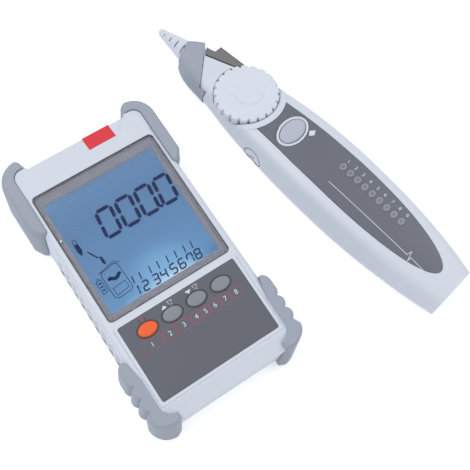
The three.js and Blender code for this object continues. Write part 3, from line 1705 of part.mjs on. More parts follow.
// Block battery with its two studs, and the snap plate against them
function blockBattery() {
  const high = blockLow + blockHeight;
  const middle = (blockLow + high) / 2;
  const corner = blockRound;
  const half = blockWidth / 2;
  const section = roundedOutline(-half, half, blockLow, high, corner).map((point) => [point.x, point.y]);
  const body = longPrism(section, blockStart, blockEnd);
  const studs = [-studOffset, studOffset].map((x) => {
    const aim = new THREE.Matrix4().makeRotationX(-Math.PI / 2);
    aim.setPosition(x, blockEnd, middle);
    return turned([[0, -studHeight], [studRadius, -studHeight], [studRadius, studHeight], [0, studHeight]], keySegments, aim);
  });
  return join(body, ...studs);
}

function batterySnap() {
  const high = blockLow + blockHeight;
  const half = blockWidth / 2;
  return block(-half, half, snapStart, snapStart + snapThickness, blockLow, high);
}

function speaker() {
  const low = handleWall + fitGap;
  const profile = [
    [0, low],
    [speakerRadius, low],
    [speakerRadius, low + speakerHeight / 2],
    [speakerRadius / 2, low + speakerHeight],
    [0, low + speakerHeight],
  ];
  return turned(profile, roundSegments, new THREE.Matrix4().makeTranslation(0, speakerAlong, 0));
}

// Tester, piece by piece
const tester = new THREE.Group();
tester.add(piece('tester_front_shell', frontShell(), whitePlastic));
tester.add(piece('tester_rear_shell', rearShell(), whitePlastic));
tester.add(
  piece(
    'display_lens',
    prism(lensOutline(0), bodyDepth + lensProud - lensThickness, bodyDepth + lensProud),
    lensPlastic,
  ),
);
const panelTop = faceUnderside - fitGap;
const panelLow = panelTop - panelThickness;
tester.add(piece('lcd_panel', prism(lensOutline(-panelMargin), panelLow, panelTop), displayGlass));
tester.add(
  piece('display_backlight', prism(lensOutline(-panelMargin), boardTop + fitGap, panelLow - fitGap), lightGuide),
);
tester.add(piece('keypad_overlay', keypadOverlay(), darkLabel));
const keyNames = ['power_button', 'up_button', 'down_button', 'scan_button'];
keyNames.forEach((name, index) => {
  tester.add(piece(name, key(keyPlaces[index]), index === 0 ? orangeKey : greyKey));
});
const topBumper = (outline) => bumper(outline, topBumperOpening(), topBumperRound, topBumperRoundDrop);
const bottomBumper = (outline) => bumper(outline, bottomBumperOpening(), bumperRound, bumperRound);
tester.add(piece('top_right_bumper', topBumper(topBumperOutline()), greyRubber));
tester.add(piece('top_left_bumper', topBumper(mirrored(topBumperOutline())), greyRubber));
tester.add(piece('bottom_right_bumper', bottomBumper(bottomBumperOutline()), greyRubber));
tester.add(piece('bottom_left_bumper', bottomBumper(mirrored(bottomBumperOutline())), greyRubber));
tester.add(piece('tester_circuit_board', testerBoard(), boardGreen));
tester.add(piece('main_port', socket(-portOffset, portFront, portTop, 1), blackPlastic));
tester.add(piece('loopback_port', socket(portOffset, portFront, portTop, 1), blackPlastic));
for (let index = 0; index < cellCount; index += 1) {
  const way = index % 2 === 0 ? 1 : -1;
  tester.add(piece(`battery_cell_${index + 1}`, cell(index, way), cellJacket));
}
tester.add(piece('battery_contact_right', contactStrip(1), plainSteel));
tester.add(piece('battery_contact_left', contactStrip(-1), plainSteel));
tester.add(piece('tester_battery_door', testerDoor(), whitePlastic));
screwPlaces.forEach(([x, y], index) => {
  tester.add(piece(`tester_screw_${index + 1}`, screw(x, y, 0, boardTop + screwBite), plainSteel));
});

// Receiver, piece by piece
const receiver = new THREE.Group();
const housing = receiverHousing();
receiver.add(piece('receiver_upper_shell', receiverUpper(housing), whitePlastic));
receiver.add(piece('receiver_lower_shell', receiverLower(housing), whitePlastic));
receiver.add(piece('probe_tip', probeTip(), whitePlastic));
receiver.add(piece('antenna_rod', antennaForm(0), brightBrass));
receiver.add(piece('tip_collar', tipCollar(), greyRubber));
receiver.add(piece('sensitivity_dial', sensitivityDial(), whitePlastic));
receiver.add(piece('dial_spindle', dialSpindle(), plainSteel));
receiver.add(piece('dial_control', dialControl(), blackPlastic));
receiver.add(piece('receiver_overlay', receiverOverlay(), darkLabel));
receiver.add(piece('mode_ring', modeRing(), whitePlastic));
receiver.add(piece('mode_button', modeKey(), paleKey));
receiver.add(piece('signal_light_strip', lightStrip(), clearLight));
receiver.add(piece('lamp_lever', sideLever(), darkPlastic));
receiver.add(piece('receiver_port', socket(0, receiverPortFront, receiverPortTop, -1), blackPlastic));
receiver.add(piece('earphone_socket', earphoneSocket(), whitePlastic));
receiver.add(piece('receiver_circuit_board', receiverBoard(), boardGreen));
receiver.add(piece('speaker', speaker(), blackPlastic));
receiver.add(piece('block_battery', blockBattery(), cellJacket));
receiver.add(piece('battery_snap', batterySnap(), blackPlastic));
receiver.add(piece('receiver_battery_door', receiverDoor(), whitePlastic));
receiverScrewPlaces.forEach(([x, y], index) => {
  receiver.add(piece(`receiver_screw_${index + 1}`, screw(x, y, 0, receiverScrewTop), plainSteel));
});
receiver.rotation.z = receiverTurn;
receiver.position.set(receiverX, receiverY, 0);

// The set stands on its surface with its origin under the middle of the two units together
const cableTester = new THREE.Group();
cableTester.add(tester, receiver);
const reach = new THREE.Box3().setFromObject(cableTester, true);
const middle = reach.getCenter(new THREE.Vector3());
for (const unit of [tester, receiver]) {
  unit.position.x -= middle.x;
  unit.position.y -= middle.y;
  unit.position.z -= reach.min.z;
}

export default cableTester;
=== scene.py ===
import bmesh
import bpy
import numpy as np
from mathutils import Matrix, Vector


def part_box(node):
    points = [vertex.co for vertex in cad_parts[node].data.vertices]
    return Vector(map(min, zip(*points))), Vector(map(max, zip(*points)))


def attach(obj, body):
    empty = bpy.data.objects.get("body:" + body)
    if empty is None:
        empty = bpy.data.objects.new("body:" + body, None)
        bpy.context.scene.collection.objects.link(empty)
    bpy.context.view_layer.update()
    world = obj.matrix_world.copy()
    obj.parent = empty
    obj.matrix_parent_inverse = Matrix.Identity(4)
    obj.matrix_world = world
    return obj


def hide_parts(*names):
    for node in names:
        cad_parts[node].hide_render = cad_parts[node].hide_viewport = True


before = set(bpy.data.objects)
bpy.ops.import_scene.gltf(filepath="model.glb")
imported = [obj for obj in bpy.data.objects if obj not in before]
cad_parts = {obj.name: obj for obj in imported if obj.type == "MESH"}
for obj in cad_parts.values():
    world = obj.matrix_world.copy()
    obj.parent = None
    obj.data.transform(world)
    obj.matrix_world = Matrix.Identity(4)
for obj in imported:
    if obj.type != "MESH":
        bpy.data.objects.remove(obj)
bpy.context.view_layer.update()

# The photographer's camera: a long lens held over the left of the two units, turned so that
# the tester runs from upper left to lower right. The picture is square, 470 by 470.
PICTURE, FOCAL_PIXELS, SENSOR_MM = 470, 850, 36


def placed(name, data):
    """A new object that holds the data, in the scene."""
    thing = bpy.data.objects.new(name, data)
    bpy.context.scene.collection.objects.link(thing)
    return thing


camera_data = bpy.data.cameras.new("camera")
camera_data.sensor_width, camera_data.clip_start = SENSOR_MM, 0.01
camera_data.lens = FOCAL_PIXELS / PICTURE * SENSOR_MM
camera = placed("camera", camera_data)
low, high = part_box("tester_rear_shell")
tester_spot = Vector(((low.x + high.x) / 2, (low.y + high.y) / 2, 0))
right, up = (0.82255, -0.55543, 0.12209), (0.50214, 0.81014, 0.30254)
back = (-0.26695, -0.18755, 0.94528)
eye = tester_spot + Vector((-0.07337, -0.09263, 0.44144))
camera.matrix_world = Matrix([*zip(right, up, back, eye), (0, 0, 0, 1)])
bpy.context.scene.camera = camera
bpy.context.scene.view_settings.view_transform = "Standard"

# A white table in a white room. Soft daylight comes from the upper left and a weaker light
# fills the right. The table keeps a faint shadow, and what lies beyond it shows as plain white.
WHITE = (1, 1, 1, 1)


def add_node(tree, kind, values=None, operation=None):
    """A new shader node whose sockets get values by name or number. A mix is one of colours."""
    made = tree.nodes.new(f"ShaderNode{kind}")
    if operation:
        made.operation = operation
    if kind == "Mix":
        made.data_type = "RGBA"
    for socket, value in (values or {}).items():
        made.inputs[socket].default_value = value
    return made


def link_nodes(tree, *runs):
    """Links in a node tree, each given as a node, its output, the next node and its input."""
    for start, output, end, entry in runs:
        tree.links.new(start.outputs[output], end.inputs[entry])


def new_finish(name, values):
    """A new material, its node tree, and its Principled surface with its sockets' values set."""
    finish = bpy.data.materials.new(name)
    finish.use_nodes = True
    surface = finish.node_tree.nodes["Principled BSDF"]
    for socket, value in values.items():
        surface.inputs[socket].default_value = value
    return finish, finish.node_tree, surface


world = bpy.data.worlds.new("white_room")
bpy.context.scene.world = world
world.use_nodes = True
room = world.node_tree
room.nodes.clear()
room_light = add_node(room, "Background", {"Color": (0.93, 0.96, 1.0, 1), "Strength": 0.56})
room_seen = add_node(room, "Background", {"Color": WHITE, "Strength": 1.0})
room_out, room_mix, rays = (add_node(room, kind) for kind in ("OutputWorld", "MixShader", "LightPath"))
mirrored_too, through_too = (add_node(room, "Math", None, "MAXIMUM") for _ in range(2))
link_nodes(
    room,
    (rays, "Is Camera Ray", mirrored_too, 0), (rays, "Is Glossy Ray", mirrored_too, 1),
    (mirrored_too, 0, through_too, 0), (rays, "Is Transmission Ray", through_too, 1),
    (through_too, 0, room_mix, 0), (room_light, 0, room_mix, 1), (room_seen, 0, room_mix, 2),
    (room_mix, 0, room_out, "Surface"),
)

for lamp_name, spot, side, power, tint in (
    ("window_lamp", (-0.9, 0.75, 2.0), 1.3, 18.0, (0.97, 0.985, 1.0)),
    ("fill_lamp", (1.35, -0.35, 1.5), 0.9, 6.4, (1.0, 0.99, 0.97)),
):
    lamp_data = bpy.data.lights.new(lamp_name, "AREA")
    lamp_data.shape, lamp_data.size = "SQUARE", side
    lamp_data.energy, lamp_data.color = power, tint
    lamp = placed(lamp_name, lamp_data)
    lamp.location = spot
    lamp.rotation_euler = (-Vector(spot)).to_track_quat("-Z", "Y").to_euler()

table_x, table_y = np.meshgrid(np.linspace(-3, 3, 3), np.linspace(-3, 3, 3))
table_points = np.stack([table_x, table_y, np.full_like(table_x, -0.0002)], -1).reshape(-1, 3)
corner = np.array([0, 1, 3, 4])
table_faces = np.stack([corner, corner + 1, corner + 4, corner + 3], -1)
table_mesh = bpy.data.meshes.new("table")
table_mesh.from_pydata(table_points.tolist(), [], table_faces.tolist())
table_finish, tree, surface = new_finish(
    "white_table", {"Base Color": (0.9, 0.91, 0.93, 1), "Roughness": 0.9, "Specular IOR Level": 0.1}
)
glow, share = add_node(tree, "Emission", {"Color": WHITE}), add_node(tree, "Math", {1: 0.45}, "MULTIPLY")
rays, both = add_node(tree, "LightPath"), add_node(tree, "AddShader")
seen = add_node(tree, "Math", None, "MAXIMUM")
link_nodes(
    tree,
    (rays, "Is Camera Ray", seen, 0), (rays, "Is Glossy Ray", seen, 1), (seen, 0, share, 0),
    (share, 0, glow, "Strength"), (surface, 0, both, 0), (glow, 0, both, 1),
    (both, 0, tree.nodes["Material Output"], "Surface"),
)
table_mesh.materials.append(table_finish)
table = placed("table", table_mesh)

# Tester front shell: the upper half of the white moulded housing, with a window for the
# display, a shallow bed for the keypad cover, four key holes, sloped ends and grip flutes.
# It is injection-moulded with a fine spark grain, and screwed to the rear shell from below.
MM = 0.001
BODY_TOP, BODY_END = 74, -74
TOP_HALF, END_HALF = 38.6, 40.3
FACE, CLEAR = 34, 40
FACET_START, FACET_RUN, FACET_DROP = 64.4, 9.6, 2.3
LENS, LENS_ROUND = (-35, 35, -17, 57.5), 2.2
OVERLAY = (-33.6, 33.6, -62.5, -21.4)
PARTING, WALL, FACE_UNDER = 19.8, 2.2, 30.4
KEY_ROW, KEY_HALF = -29, (5.25, 3.5)
KEY_PLACES = np.array([-21.225, -7.075, 7.075, 21.225])
SMOOTH_EDGE = np.radians(34)


def colour(code):
    """A colour written as six hexadecimal digits, turned from display values to linear light."""
    part = np.array([int(code[i:i + 2], 16) for i in (1, 3, 5)]) / 255
    linear = np.where(part <= 0.04045, part / 12.92, ((part + 0.055) / 1.055) ** 2.4)
    return (*linear, 1.0)


def tester_place(points):
    """Tester millimetres to world metres: the middle of the tester's back is added."""
    return points * MM + [tester_spot.x, tester_spot.y, 0]


def arc(x, y, radius, start, end, steps):
    """Points round (x, y): centre plus radius times cosine and sine, from start to end degrees."""
    turn = np.radians(np.linspace(start, end, steps + 1))
    return np.stack([x + radius * np.cos(turn), y + radius * np.sin(turn)], -1)


def rounded(left, right_side, near, far, radius, steps=8):
    """A rectangle's outline with a quarter circle at each corner, counterclockwise."""
    return np.concatenate([
        arc(right_side - radius, near + radius, radius, -90, 0, steps),
        arc(right_side - radius, far - radius, radius, 0, 90, steps),
        arc(left + radius, far - radius, radius, 90, 180, steps),
        arc(left + radius, near + radius, radius, 180, 270, steps),
    ])


def oval(x, y, half_x, half_y, count=64):
    """An ellipse's outline: half_x times cosine and half_y times sine of count even turns."""
    turn = np.arange(count) * 2 * np.pi / count
    return np.stack([x + half_x * np.cos(turn), y + half_y * np.sin(turn)], -1)


def key_oval(x, gap):
    """The outline of the tester's key at x, with a gap all round."""
    return oval(x, KEY_ROW, KEY_HALF[0] + gap, KEY_HALF[1] + gap)


def moved_in(outline, distance):
    """Every edge moved inwards by distance: a corner moves by the sum of the normals of its two
    edges, times distance, over one plus the normals' dot product."""
    arriving = outline - np.roll(outline, 1, 0)
    leaving = np.roll(outline, -1, 0) - outline
    arriving = arriving / np.linalg.norm(arriving, axis=1, keepdims=True)
    leaving = leaving / np.linalg.norm(leaving, axis=1, keepdims=True)
    first = np.stack([-arriving[:, 1], arriving[:, 0]], -1)
    second = np.stack([-leaving[:, 1], leaving[:, 0]], -1)
    return outline + (first + second) * distance / (1 + (first * second).sum(-1, keepdims=True))


def at_height(outline, level):
    """An outline's points with their height: one for all, or one each."""
    return np.column_stack([outline, np.broadcast_to(level, len(outline))])


def reworked(mesh, work):
    """The mesh, after the work was done on it with its faces and edges open to bmesh."""
    shell = bmesh.new()
    shell.from_mesh(mesh)
    work(shell)
    shell.to_mesh(mesh)
    shell.free()
    return mesh


def skin(name, rings, place, wrapped=False):
    """A closed surface over a grid of rings: row i, point j joins row i + 1, point j + 1. The end
    rows are capped, or joined to each other if wrapped. Its faces are turned outwards."""
    rings = np.array(rings, float)
    rows, count = rings.shape[:2]
    grid = np.arange(rows * count).reshape(rows, count)
    onward = np.roll(grid, -1, 1)
    above, above_onward = np.roll(grid, -1, 0), np.roll(onward, -1, 0)
    quads = np.stack([grid, onward, above_onward, above], -1)
    faces = (quads if wrapped else quads[:-1]).reshape(-1, 4).tolist()
    if not wrapped:
        faces += [grid[0][::-1].tolist(), grid[-1].tolist()]
    mesh = bpy.data.meshes.new(name)
    mesh.from_pydata(place(rings.reshape(-1, 3)).tolist(), [], faces)
    reworked(mesh, lambda shell: bmesh.ops.recalc_face_normals(shell, faces=shell.faces))
    return placed(name, mesh)


def prism(name, outline, low, high, place=tester_place, foot=0, crown=0, drop=None, steps=6):
    """An outline carried upwards from low to high. Its lower rim is rounded by foot and its upper
    rim by crown, drop deep: height changes by one minus cosine, inset by one minus sine."""
    quarter, outline = np.linspace(0, np.pi / 2, steps + 1), np.asarray(outline, float)
    drop = crown if drop is None else drop
    lower, upper = (quarter if foot else quarter[-1:]), (quarter[::-1] if crown else quarter[-1:])
    levels = np.concatenate([
        np.stack([low + foot * (1 - np.cos(lower)), foot * (1 - np.sin(lower))], -1),
        np.stack([high - drop * (1 - np.cos(upper)), crown * (1 - np.sin(upper))], -1),
    ])
    return skin(name, [at_height(moved_in(outline, inset), z) for z, inset in levels], place)


def carve(piece, *tools, operation="DIFFERENCE"):
    """The piece less (or shared with) each tool in turn, as one finished mesh. Tools are used up."""
    for tool in tools:
        step = piece.modifiers.new("carve", "BOOLEAN")
        step.operation, step.solver, step.object = operation, "EXACT", tool
    shown = piece.evaluated_get(bpy.context.evaluated_depsgraph_get())
    finished = bpy.data.meshes.new_from_object(shown)
    piece.modifiers.clear()
    piece.data = finished
    for tool in tools:
        bpy.data.objects.remove(tool)
    return piece


def smooth(piece, rim=0.0, edge=SMOOTH_EDGE):
    """Smooth shading that stays crisp at edges sharper than edge, or gets them rounded by rim mm."""
    piece.data.shade_smooth()
    if rim:
        bevel = piece.modifiers.new("rounded_rim", "BEVEL")
        bevel.width, bevel.segments, bevel.limit_method = rim * MM, 3, "ANGLE"
        bevel.angle_limit, bevel.harden_normals = edge, True
        bevel.use_clamp_overlap = False
    else:
        piece.data.set_sharp_from_angle(angle=edge)
        piece.modifiers.new("even_shade", "WEIGHTED_NORMAL").keep_sharp = True
    return piece


grain_group = bpy.data.node_groups.new("moulded_grain", "ShaderNodeTree")
for socket, way, kind in (
    ("Place", "INPUT", "Vector"), ("Fineness", "INPUT", "Float"),
    ("Grain", "OUTPUT", "Float"), ("Cloud", "OUTPUT", "Float"),
):
    grain_group.interface.new_socket(socket, in_out=way, socket_type=f"NodeSocket{kind}")
given, grained = grain_group.nodes.new("NodeGroupInput"), grain_group.nodes.new("NodeGroupOutput")
pits, clouds = (add_node(grain_group, "TexNoise", {"Detail": detail}) for detail in (3, 2))
coarser = add_node(grain_group, "Math", {1: 0.02}, "MULTIPLY")
link_nodes(
    grain_group,
    (given, "Place", pits, "Vector"), (given, "Fineness", pits, "Scale"), (pits, "Fac", grained, "Grain"),
    (given, "Fineness", coarser, 0), (coarser, 0, clouds, "Scale"),
    (given, "Place", clouds, "Vector"), (clouds, "Fac", grained, "Cloud"),
)


def moulded(name, code, roughness, grain=0.5, depth=0.02, uneven=0.05, sheen=0.5, metal=0.0):
    """A finish with a fine grain of that size and depth in mm. Colour darkens by the share uneven,
    and roughness swings a little, in soft clouds fifty times as wide as the grain."""
    finish, tree, surface = new_finish(name, {"Specular IOR Level": sheen, "Metallic": metal})
    plain = np.array(colour(code))
    place, texture = add_node(tree, "TexCoord"), add_node(tree, "Group")
    texture.node_tree = grain_group
    texture.inputs["Fineness"].default_value = 1 / (grain * MM)
    tone = add_node(tree, "Mix", {"A": plain, "B": (*(plain[:3] * (1 - uneven)), 1)})
    gloss = add_node(tree, "MapRange", {"To Min": roughness - 0.06, "To Max": roughness + 0.06})
    bump = add_node(tree, "Bump", {"Strength": 1, "Distance": depth * MM})
    link_nodes(
        tree,
        (place, "Object", texture, "Place"),
        (texture, "Cloud", tone, "Factor"), (tone, "Result", surface, "Base Color"),
        (texture, "Grain", gloss, "Value"), (gloss, "Result", surface, "Roughness"),
        (texture, "Grain", bump, "Height"), (bump, "Normal", surface, "Normal"),
    )
    return finish


def fit(piece, finish, body, slot, *nodes):
    """Gives a piece its finish, the body that it moves with and the nodes it stands for. The slot is not used.
    """
    piece.data.materials.clear()
    piece.data.materials.append(finish)
    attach(piece, body)
    if nodes:
        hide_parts(*nodes)
    return piece


def body_outline(grow=0.0):
    """The housing from above: four quarter circles joined by straight sides that widen downwards."""
    top_radius, end_radius = 6.4 + grow, 10.4 + grow
    top_x, end_x = TOP_HALF + grow - top_radius, END_HALF + grow - end_radius
    top_y, end_y = BODY_TOP + grow - top_radius, BODY_END - grow + end_radius
    return np.concatenate([arc(x, y, radius, turn, turn + 90, 14) for x, y, radius, turn in (
        (end_x, end_y, end_radius, -90), (top_x, top_y, top_radius, 0),
        (-top_x, top_y, top_radius, 90), (-end_x, end_y, end_radius, 180),
    )])


def grown(box, grow, radius):
    """A rectangle (left, right, near, far) made bigger all round, with round corners."""
    left, right_side, near, far = box
    return rounded(left - grow, right_side + grow, near - grow, far + grow, max(radius + grow, 0.3))


def sloped(name, plan, start, run, drop):
    """What a slope cuts off the face: over the plan, from start on, the height falls by drop in
    each run along the length, and the cut is open upwards."""
    plan = np.array(plan, float)
    floor = FACE - drop * np.abs(plan[:, 1] - start) / run
    return skin(name, [at_height(plan, floor), at_height(plan, CLEAR)], tester_place)


def end_slope():
    """The slope at the tester's lower end, over its last 8 mm."""
    start = BODY_END + 8
    return sloped("end_slope", [[-60, start], [-60, start - 24], [60, start - 24], [60, start]], start, 8, 3)


def flutes(radius=5, dip=0.85):
    """Nine upright round rods a side, 7 mm apart, whose edges dip into the flanks."""
    rods = []
    for y in BODY_TOP - 50 - np.arange(9) * 7:
        middle = np.interp(y, [BODY_END, BODY_TOP], [END_HALF, TOP_HALF]) + radius - dip
        rods += [prism("flute", oval(x, y, radius, radius, 72), 5.5, 31, crown=1.5) for x in (-middle, middle)]
    return rods


front_shell = prism("front_housing", body_outline(), PARTING, FACE, crown=4, steps=10)
frame_line = [
    [-36, -21.4], [-36, -64.9], [36, -64.9], [36, -21.4],
    [35.5, -21.4], [35.5, -64.4], [-35.5, -64.4], [-35.5, -21.4],
]
facet = [[-20, FACET_START], [20, FACET_START], [28.5, 74], [28.5, 78], [-28.5, 78], [-28.5, 74]]
carve(
    front_shell,
    prism("hollow", body_outline(-WALL), PARTING - 4, FACE_UNDER),
    end_slope(),
    sloped("facet", facet, FACET_START, FACET_RUN, FACET_DROP),
    prism("lens_bed", grown(LENS, 0.3, LENS_ROUND), 32.25, CLEAR),
    prism("window", grown(LENS, -2.6, LENS_ROUND), FACE_UNDER - 4, CLEAR),
    prism("overlay_bed", grown(OVERLAY, 0.3, 0.8), 33, CLEAR),
    prism("frame_groove", frame_line, 33.55, CLEAR),
    *[prism("hole", key_oval(x, 0.3), FACE_UNDER - 4, CLEAR) for x in KEY_PLACES],
    *flutes(),
)
shell_white = moulded("white_housing", "#dde2ec", 0.46, grain=0.45, depth=0.012, uneven=0.03)


def in_white(piece, body, *nodes):
    """The piece as white housing plastic, smoothly shaded."""
    return fit(smooth(piece), shell_white, body, "white_plastic", *nodes)


in_white(front_shell, "tester", "tester_front_shell")

# Tester rear shell and battery door: the lower half of the same white housing, with the flutes
# running on, notches for the two sockets, screw wells and the bay for four dry cells. The door
# slides out past the lower end. Both are moulded, and their inside matters only when it is open.


def dressed(node, finish, body, slot, rim=0.0):
    """The node's own shape as a finished piece: a copy with its doubles merged and flat faces made
    whole, shaded smoothly or with its rims rounded."""
    def mend(shell):
        bmesh.ops.remove_doubles(shell, verts=shell.verts, dist=2e-6)
        bmesh.ops.dissolve_limit(shell, angle_limit=0.002, verts=shell.verts, edges=shell.edges)

    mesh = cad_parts[node].data.copy()
    mesh.transform(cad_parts[node].matrix_world)
    mesh.name = f"{node}_dressed"
    piece = placed(mesh.name, reworked(mesh, mend))
    return fit(smooth(piece, rim), finish, body, slot, node)


dressed("tester_rear_shell", shell_white, "tester", "white_plastic")
dressed("tester_battery_door", shell_white, "tester_door", "white_plastic")

# Four rubber corner bumpers: soft grey rubber boots, moulded in one and pressed over the corners.
# The upper two have long tapered sides, with a white shoulder of the front shell beside each. The
# lower two have three finger lobes and a round foot.
bumper_rubber = moulded("grey_rubber", "#a8afbc", 0.62, grain=0.7, depth=0.03, uneven=0.06, sheen=0.35)


def mirrored(outline):
    """The same outline on the other side, turned round so that it stays counterclockwise."""
    return (outline * [-1, 1])[::-1]


def joined(name, pieces):
    """Several pieces made one mesh, points and faces as they are."""
    whole, mesh = bmesh.new(), bpy.data.meshes.new(name)
    for piece in pieces:
        whole.from_mesh(piece.data)
        bpy.data.objects.remove(piece)
    whole.to_mesh(mesh)
    whole.free()
    return placed(name, mesh)


BOOT_HEIGHT, FLANK_END, ROUND_FOOT_LEAN = 34.8, -62.9, 0.28


def boot_place(points):
    """Tester places, with the round feet leaning in: past the flank's end a point moves up the
    length by its way past it, times the lean, times its share of the boot's height."""
    lean = np.clip(FLANK_END - points[:, 1], 0, None) * ROUND_FOOT_LEAN * points[:, 2] / BOOT_HEIGHT
    return tester_place(points + lean[:, None] * [0, 1, 0])


top_bumper = np.concatenate([
    [[28.5, 37.4], [39.6, 37.4], [41.4, 38.6], [44.4, 43.9]],
    arc(32, 68.2, 12.4, 0, 90, 18),
    [[30, 79.1], [28.5, 74]],
])
top_opening = rounded(-37.2, 37.2, 27.5, 74.3, 5)
shoulder = np.concatenate([
    [[30, 60.5], [37.1, 60.5]], arc(32.1, 69.2, 5, 0, 90, 12), [[28.6, 74.2], [28.6, 64]],
])
shoulders = [prism("side", plan, 26, 33.75, crown=0.5, steps=4) for plan in (shoulder, mirrored(shoulder))]
in_white(joined("corner_shoulders", shoulders), "tester")
LOBE, LOBE_ACROSS, LOBE_ALONG, LOBE_APART = 4.2, 40.1, -45.4, 7
lobe_edge = np.degrees(np.arcsin(LOBE_APART / 2 / LOBE))
bottom_bumper = np.concatenate([
    [[30.3, -77.3]],
    arc(33.4, -67.9, 10.9, -90, 0, 18),
    arc(LOBE_ACROSS, LOBE_ALONG - 2 * LOBE_APART, LOBE, -lobe_edge, lobe_edge, 12)[:-1],
    arc(LOBE_ACROSS, LOBE_ALONG - LOBE_APART, LOBE, -lobe_edge, lobe_edge, 12)[:-1],
    arc(LOBE_ACROSS, LOBE_ALONG, LOBE, -lobe_edge, 10, 8),
    [[44.2, -40.6], [43.6, -38], [41.6, -36], [30.3, -35.7]],
])
opening_side = np.concatenate([
    arc(29.9, -63, 7, -90, 0, 12),
    [[36.9, -47.7], [38.9, -38.7], [40.3, -35.7], [40.3, -32.7]],
])
bottom_opening = np.concatenate([opening_side, mirrored(opening_side)])
for end, outline, opening, crown, drop, rim in (
    ("top", top_bumper, top_opening, 2.4, 6, 0.3),
    ("bottom", bottom_bumper, bottom_opening, 1.8, 2.2, 0),
):
    for side, plan in (("right", outline), ("left", mirrored(outline))):
        node = f"{end}_{side}_bumper"
        boot = prism(f"{node}_boot", plan, 0, BOOT_HEIGHT, boot_place, 1.5, crown, drop, steps=8)
        corner_form = prism("corner", body_outline(0.15), -3, FACE + 0.15, crown=4, steps=10)
        carve(boot, carve(corner_form, end_slope()), prism("free_face", opening, 0, CLEAR))
        fit(smooth(boot, rim), bumper_rubber, "tester", "grey_rubber", node)

# Display window: a clear acrylic pane with a grey frame printed on its back, glued into the bed in the
# front shell. A thin dark band over the gap round its edge is painted shade.
PANE_LOW, PANE_TOP = 32.55, 34.15
pane = prism("display_window", grown(LENS, 0, LENS_ROUND), PANE_LOW, PANE_TOP, foot=0.15, crown=0.15, steps=3)
acrylic, tree, surface = new_finish(
    "clear_acrylic", {"Base Color": (0.97, 0.98, 1, 1), "Transmission Weight": 1, "IOR": 1.2}
)
smears = add_node(tree, "TexNoise", {"Scale": 60})
smear_range = add_node(tree, "MapRange", {"To Min": 0.02, "To Max": 0.06})
smear_place, rays, through, shaded = (
    add_node(tree, kind) for kind in ("TexCoord", "LightPath", "BsdfTransparent", "MixShader")
)
link_nodes(
    tree,
    (smear_place, "Object", smears, "Vector"), (smears, "Fac", smear_range, "Value"),
    (smear_range, "Result", surface, "Roughness"), (rays, "Is Shadow Ray", shaded, 0),
    (surface, 0, shaded, 1), (through, 0, shaded, 2), (shaded, 0, tree.nodes["Material Output"], "Surface"),
)
fit(smooth(pane), acrylic, "tester", "lens", "display_lens")


def band(name, outer, inner, low, high):
    """A flat ring between two outlines of equal count: four rows, outer and inner, low and high."""
    rows = [at_height(*row) for row in ((outer, low), (outer, high), (inner, high), (inner, low))]
    return skin(name, rows, tester_place, wrapped=True)


opening = rounded(-31.9, 31.5, -13.2, 51.7, 0.6)
frame_print = band("window_frame_print", grown(LENS, 0, LENS_ROUND), opening, PANE_LOW - 0.25, PANE_LOW - 0.05)
fit(frame_print, moulded("grey_frame_ink", "#6c6d76", 0.6, grain=0.3, depth=0.004), "tester", "lens")
# Painted shade: a dark band laid over the gap between pane and shell. The same dark finish paints shade in the
# other gaps and slots.
gap_shade_edges = grown(LENS, 0.28, LENS_ROUND), grown(LENS, -0.12, LENS_ROUND)
gap_shade_band = band("window_gap_shade", *gap_shade_edges, FACE, PANE_TOP + 0.03)
gap_shade_black = moulded("gap_shade_black", "#3a3c43", 0.5, grain=0.3, depth=0.01)
fit(gap_shade_band, gap_shade_black, "tester", "lens")

# Liquid crystal panel: a glass cell over the lit block. Its blue is light that comes through from
# behind, brightest near the foot, and it fades at its edges. The dark figures are its segments.
PANEL_LOW, PANEL_TOP = 27.7, 30.1
panel = prism("lit_panel", grown(LENS, -1.8, LENS_ROUND), PANEL_LOW, PANEL_TOP)
lcd, tree, surface = new_finish("lit_blue_panel", {
    "Base Color": (0.01, 0.012, 0.016, 1), "Roughness": 0.4, "Specular IOR Level": 0.1,
    "Emission Strength": 1,
})
place, axes, ramp = (add_node(tree, kind) for kind in ("TexCoord", "SeparateXYZ", "ValToRGB"))
measure = add_node(tree, "Mapping", {
    "Location": (-tester_spot.x / MM, -tester_spot.y / MM, 0), "Scale": (1 / MM, 1 / MM, 1 / MM),
})
fall = add_node(tree, "MapRange", {"From Min": 52, "From Max": -13})
link_nodes(
    tree,
    (place, "Object", measure, "Vector"), (measure, "Vector", axes, "Vector"),
    (axes, "Y", fall, "Value"), (fall, "Result", ramp, "Fac"),
)
for spot, code in ((0.0, "#5f84ac"), (0.3, "#567da6"), (0.72, "#5b86b2"), (1.0, "#5f90bb")):
    stop = ramp.color_ramp.elements.new(spot) if 0 < spot < 1 else ramp.color_ramp.elements[-int(spot)]
    stop.color = colour(code)


def faded(value, start, stop):
    """A mask that goes smoothly from none, where the value is start, to one, where it is stop."""
    mask = add_node(tree, "MapRange", {"From Min": start, "From Max": stop})
    mask.interpolation_type = "SMOOTHSTEP"
    tree.links.new(value, mask.inputs["Value"])
    return mask.outputs["Result"]


def blot(middle, reach, inner=0.0):
    """A soft oval mask: one inside, falling to none at the rim, by the distance from middle over
    reach across and along."""
    oval_place = add_node(tree, "Mapping", {
        "Location": (-middle[0] / reach[0], -middle[1] / reach[1], 0),
        "Scale": (1 / reach[0], 1 / reach[1], 0),
    })
    far = add_node(tree, "VectorMath", None, "LENGTH")
    link_nodes(tree, (measure, "Vector", oval_place, "Vector"), (oval_place, "Vector", far, 0))
    return faded(far.outputs["Value"], 1.0, inner)


def tinted(under, code, mask, strength=1.0):
    """The colour under it, mixed towards code by the mask times strength."""
    mix = add_node(tree, "Mix", {"B": colour(code)})
    weight = add_node(tree, "Math", {1: strength}, "MULTIPLY")
    tree.links.new(mask, weight.inputs[0])
    tree.links.new(under, mix.inputs["A"])
    link_nodes(tree, (weight, 0, mix, "Factor"))
    return mix.outputs["Result"]


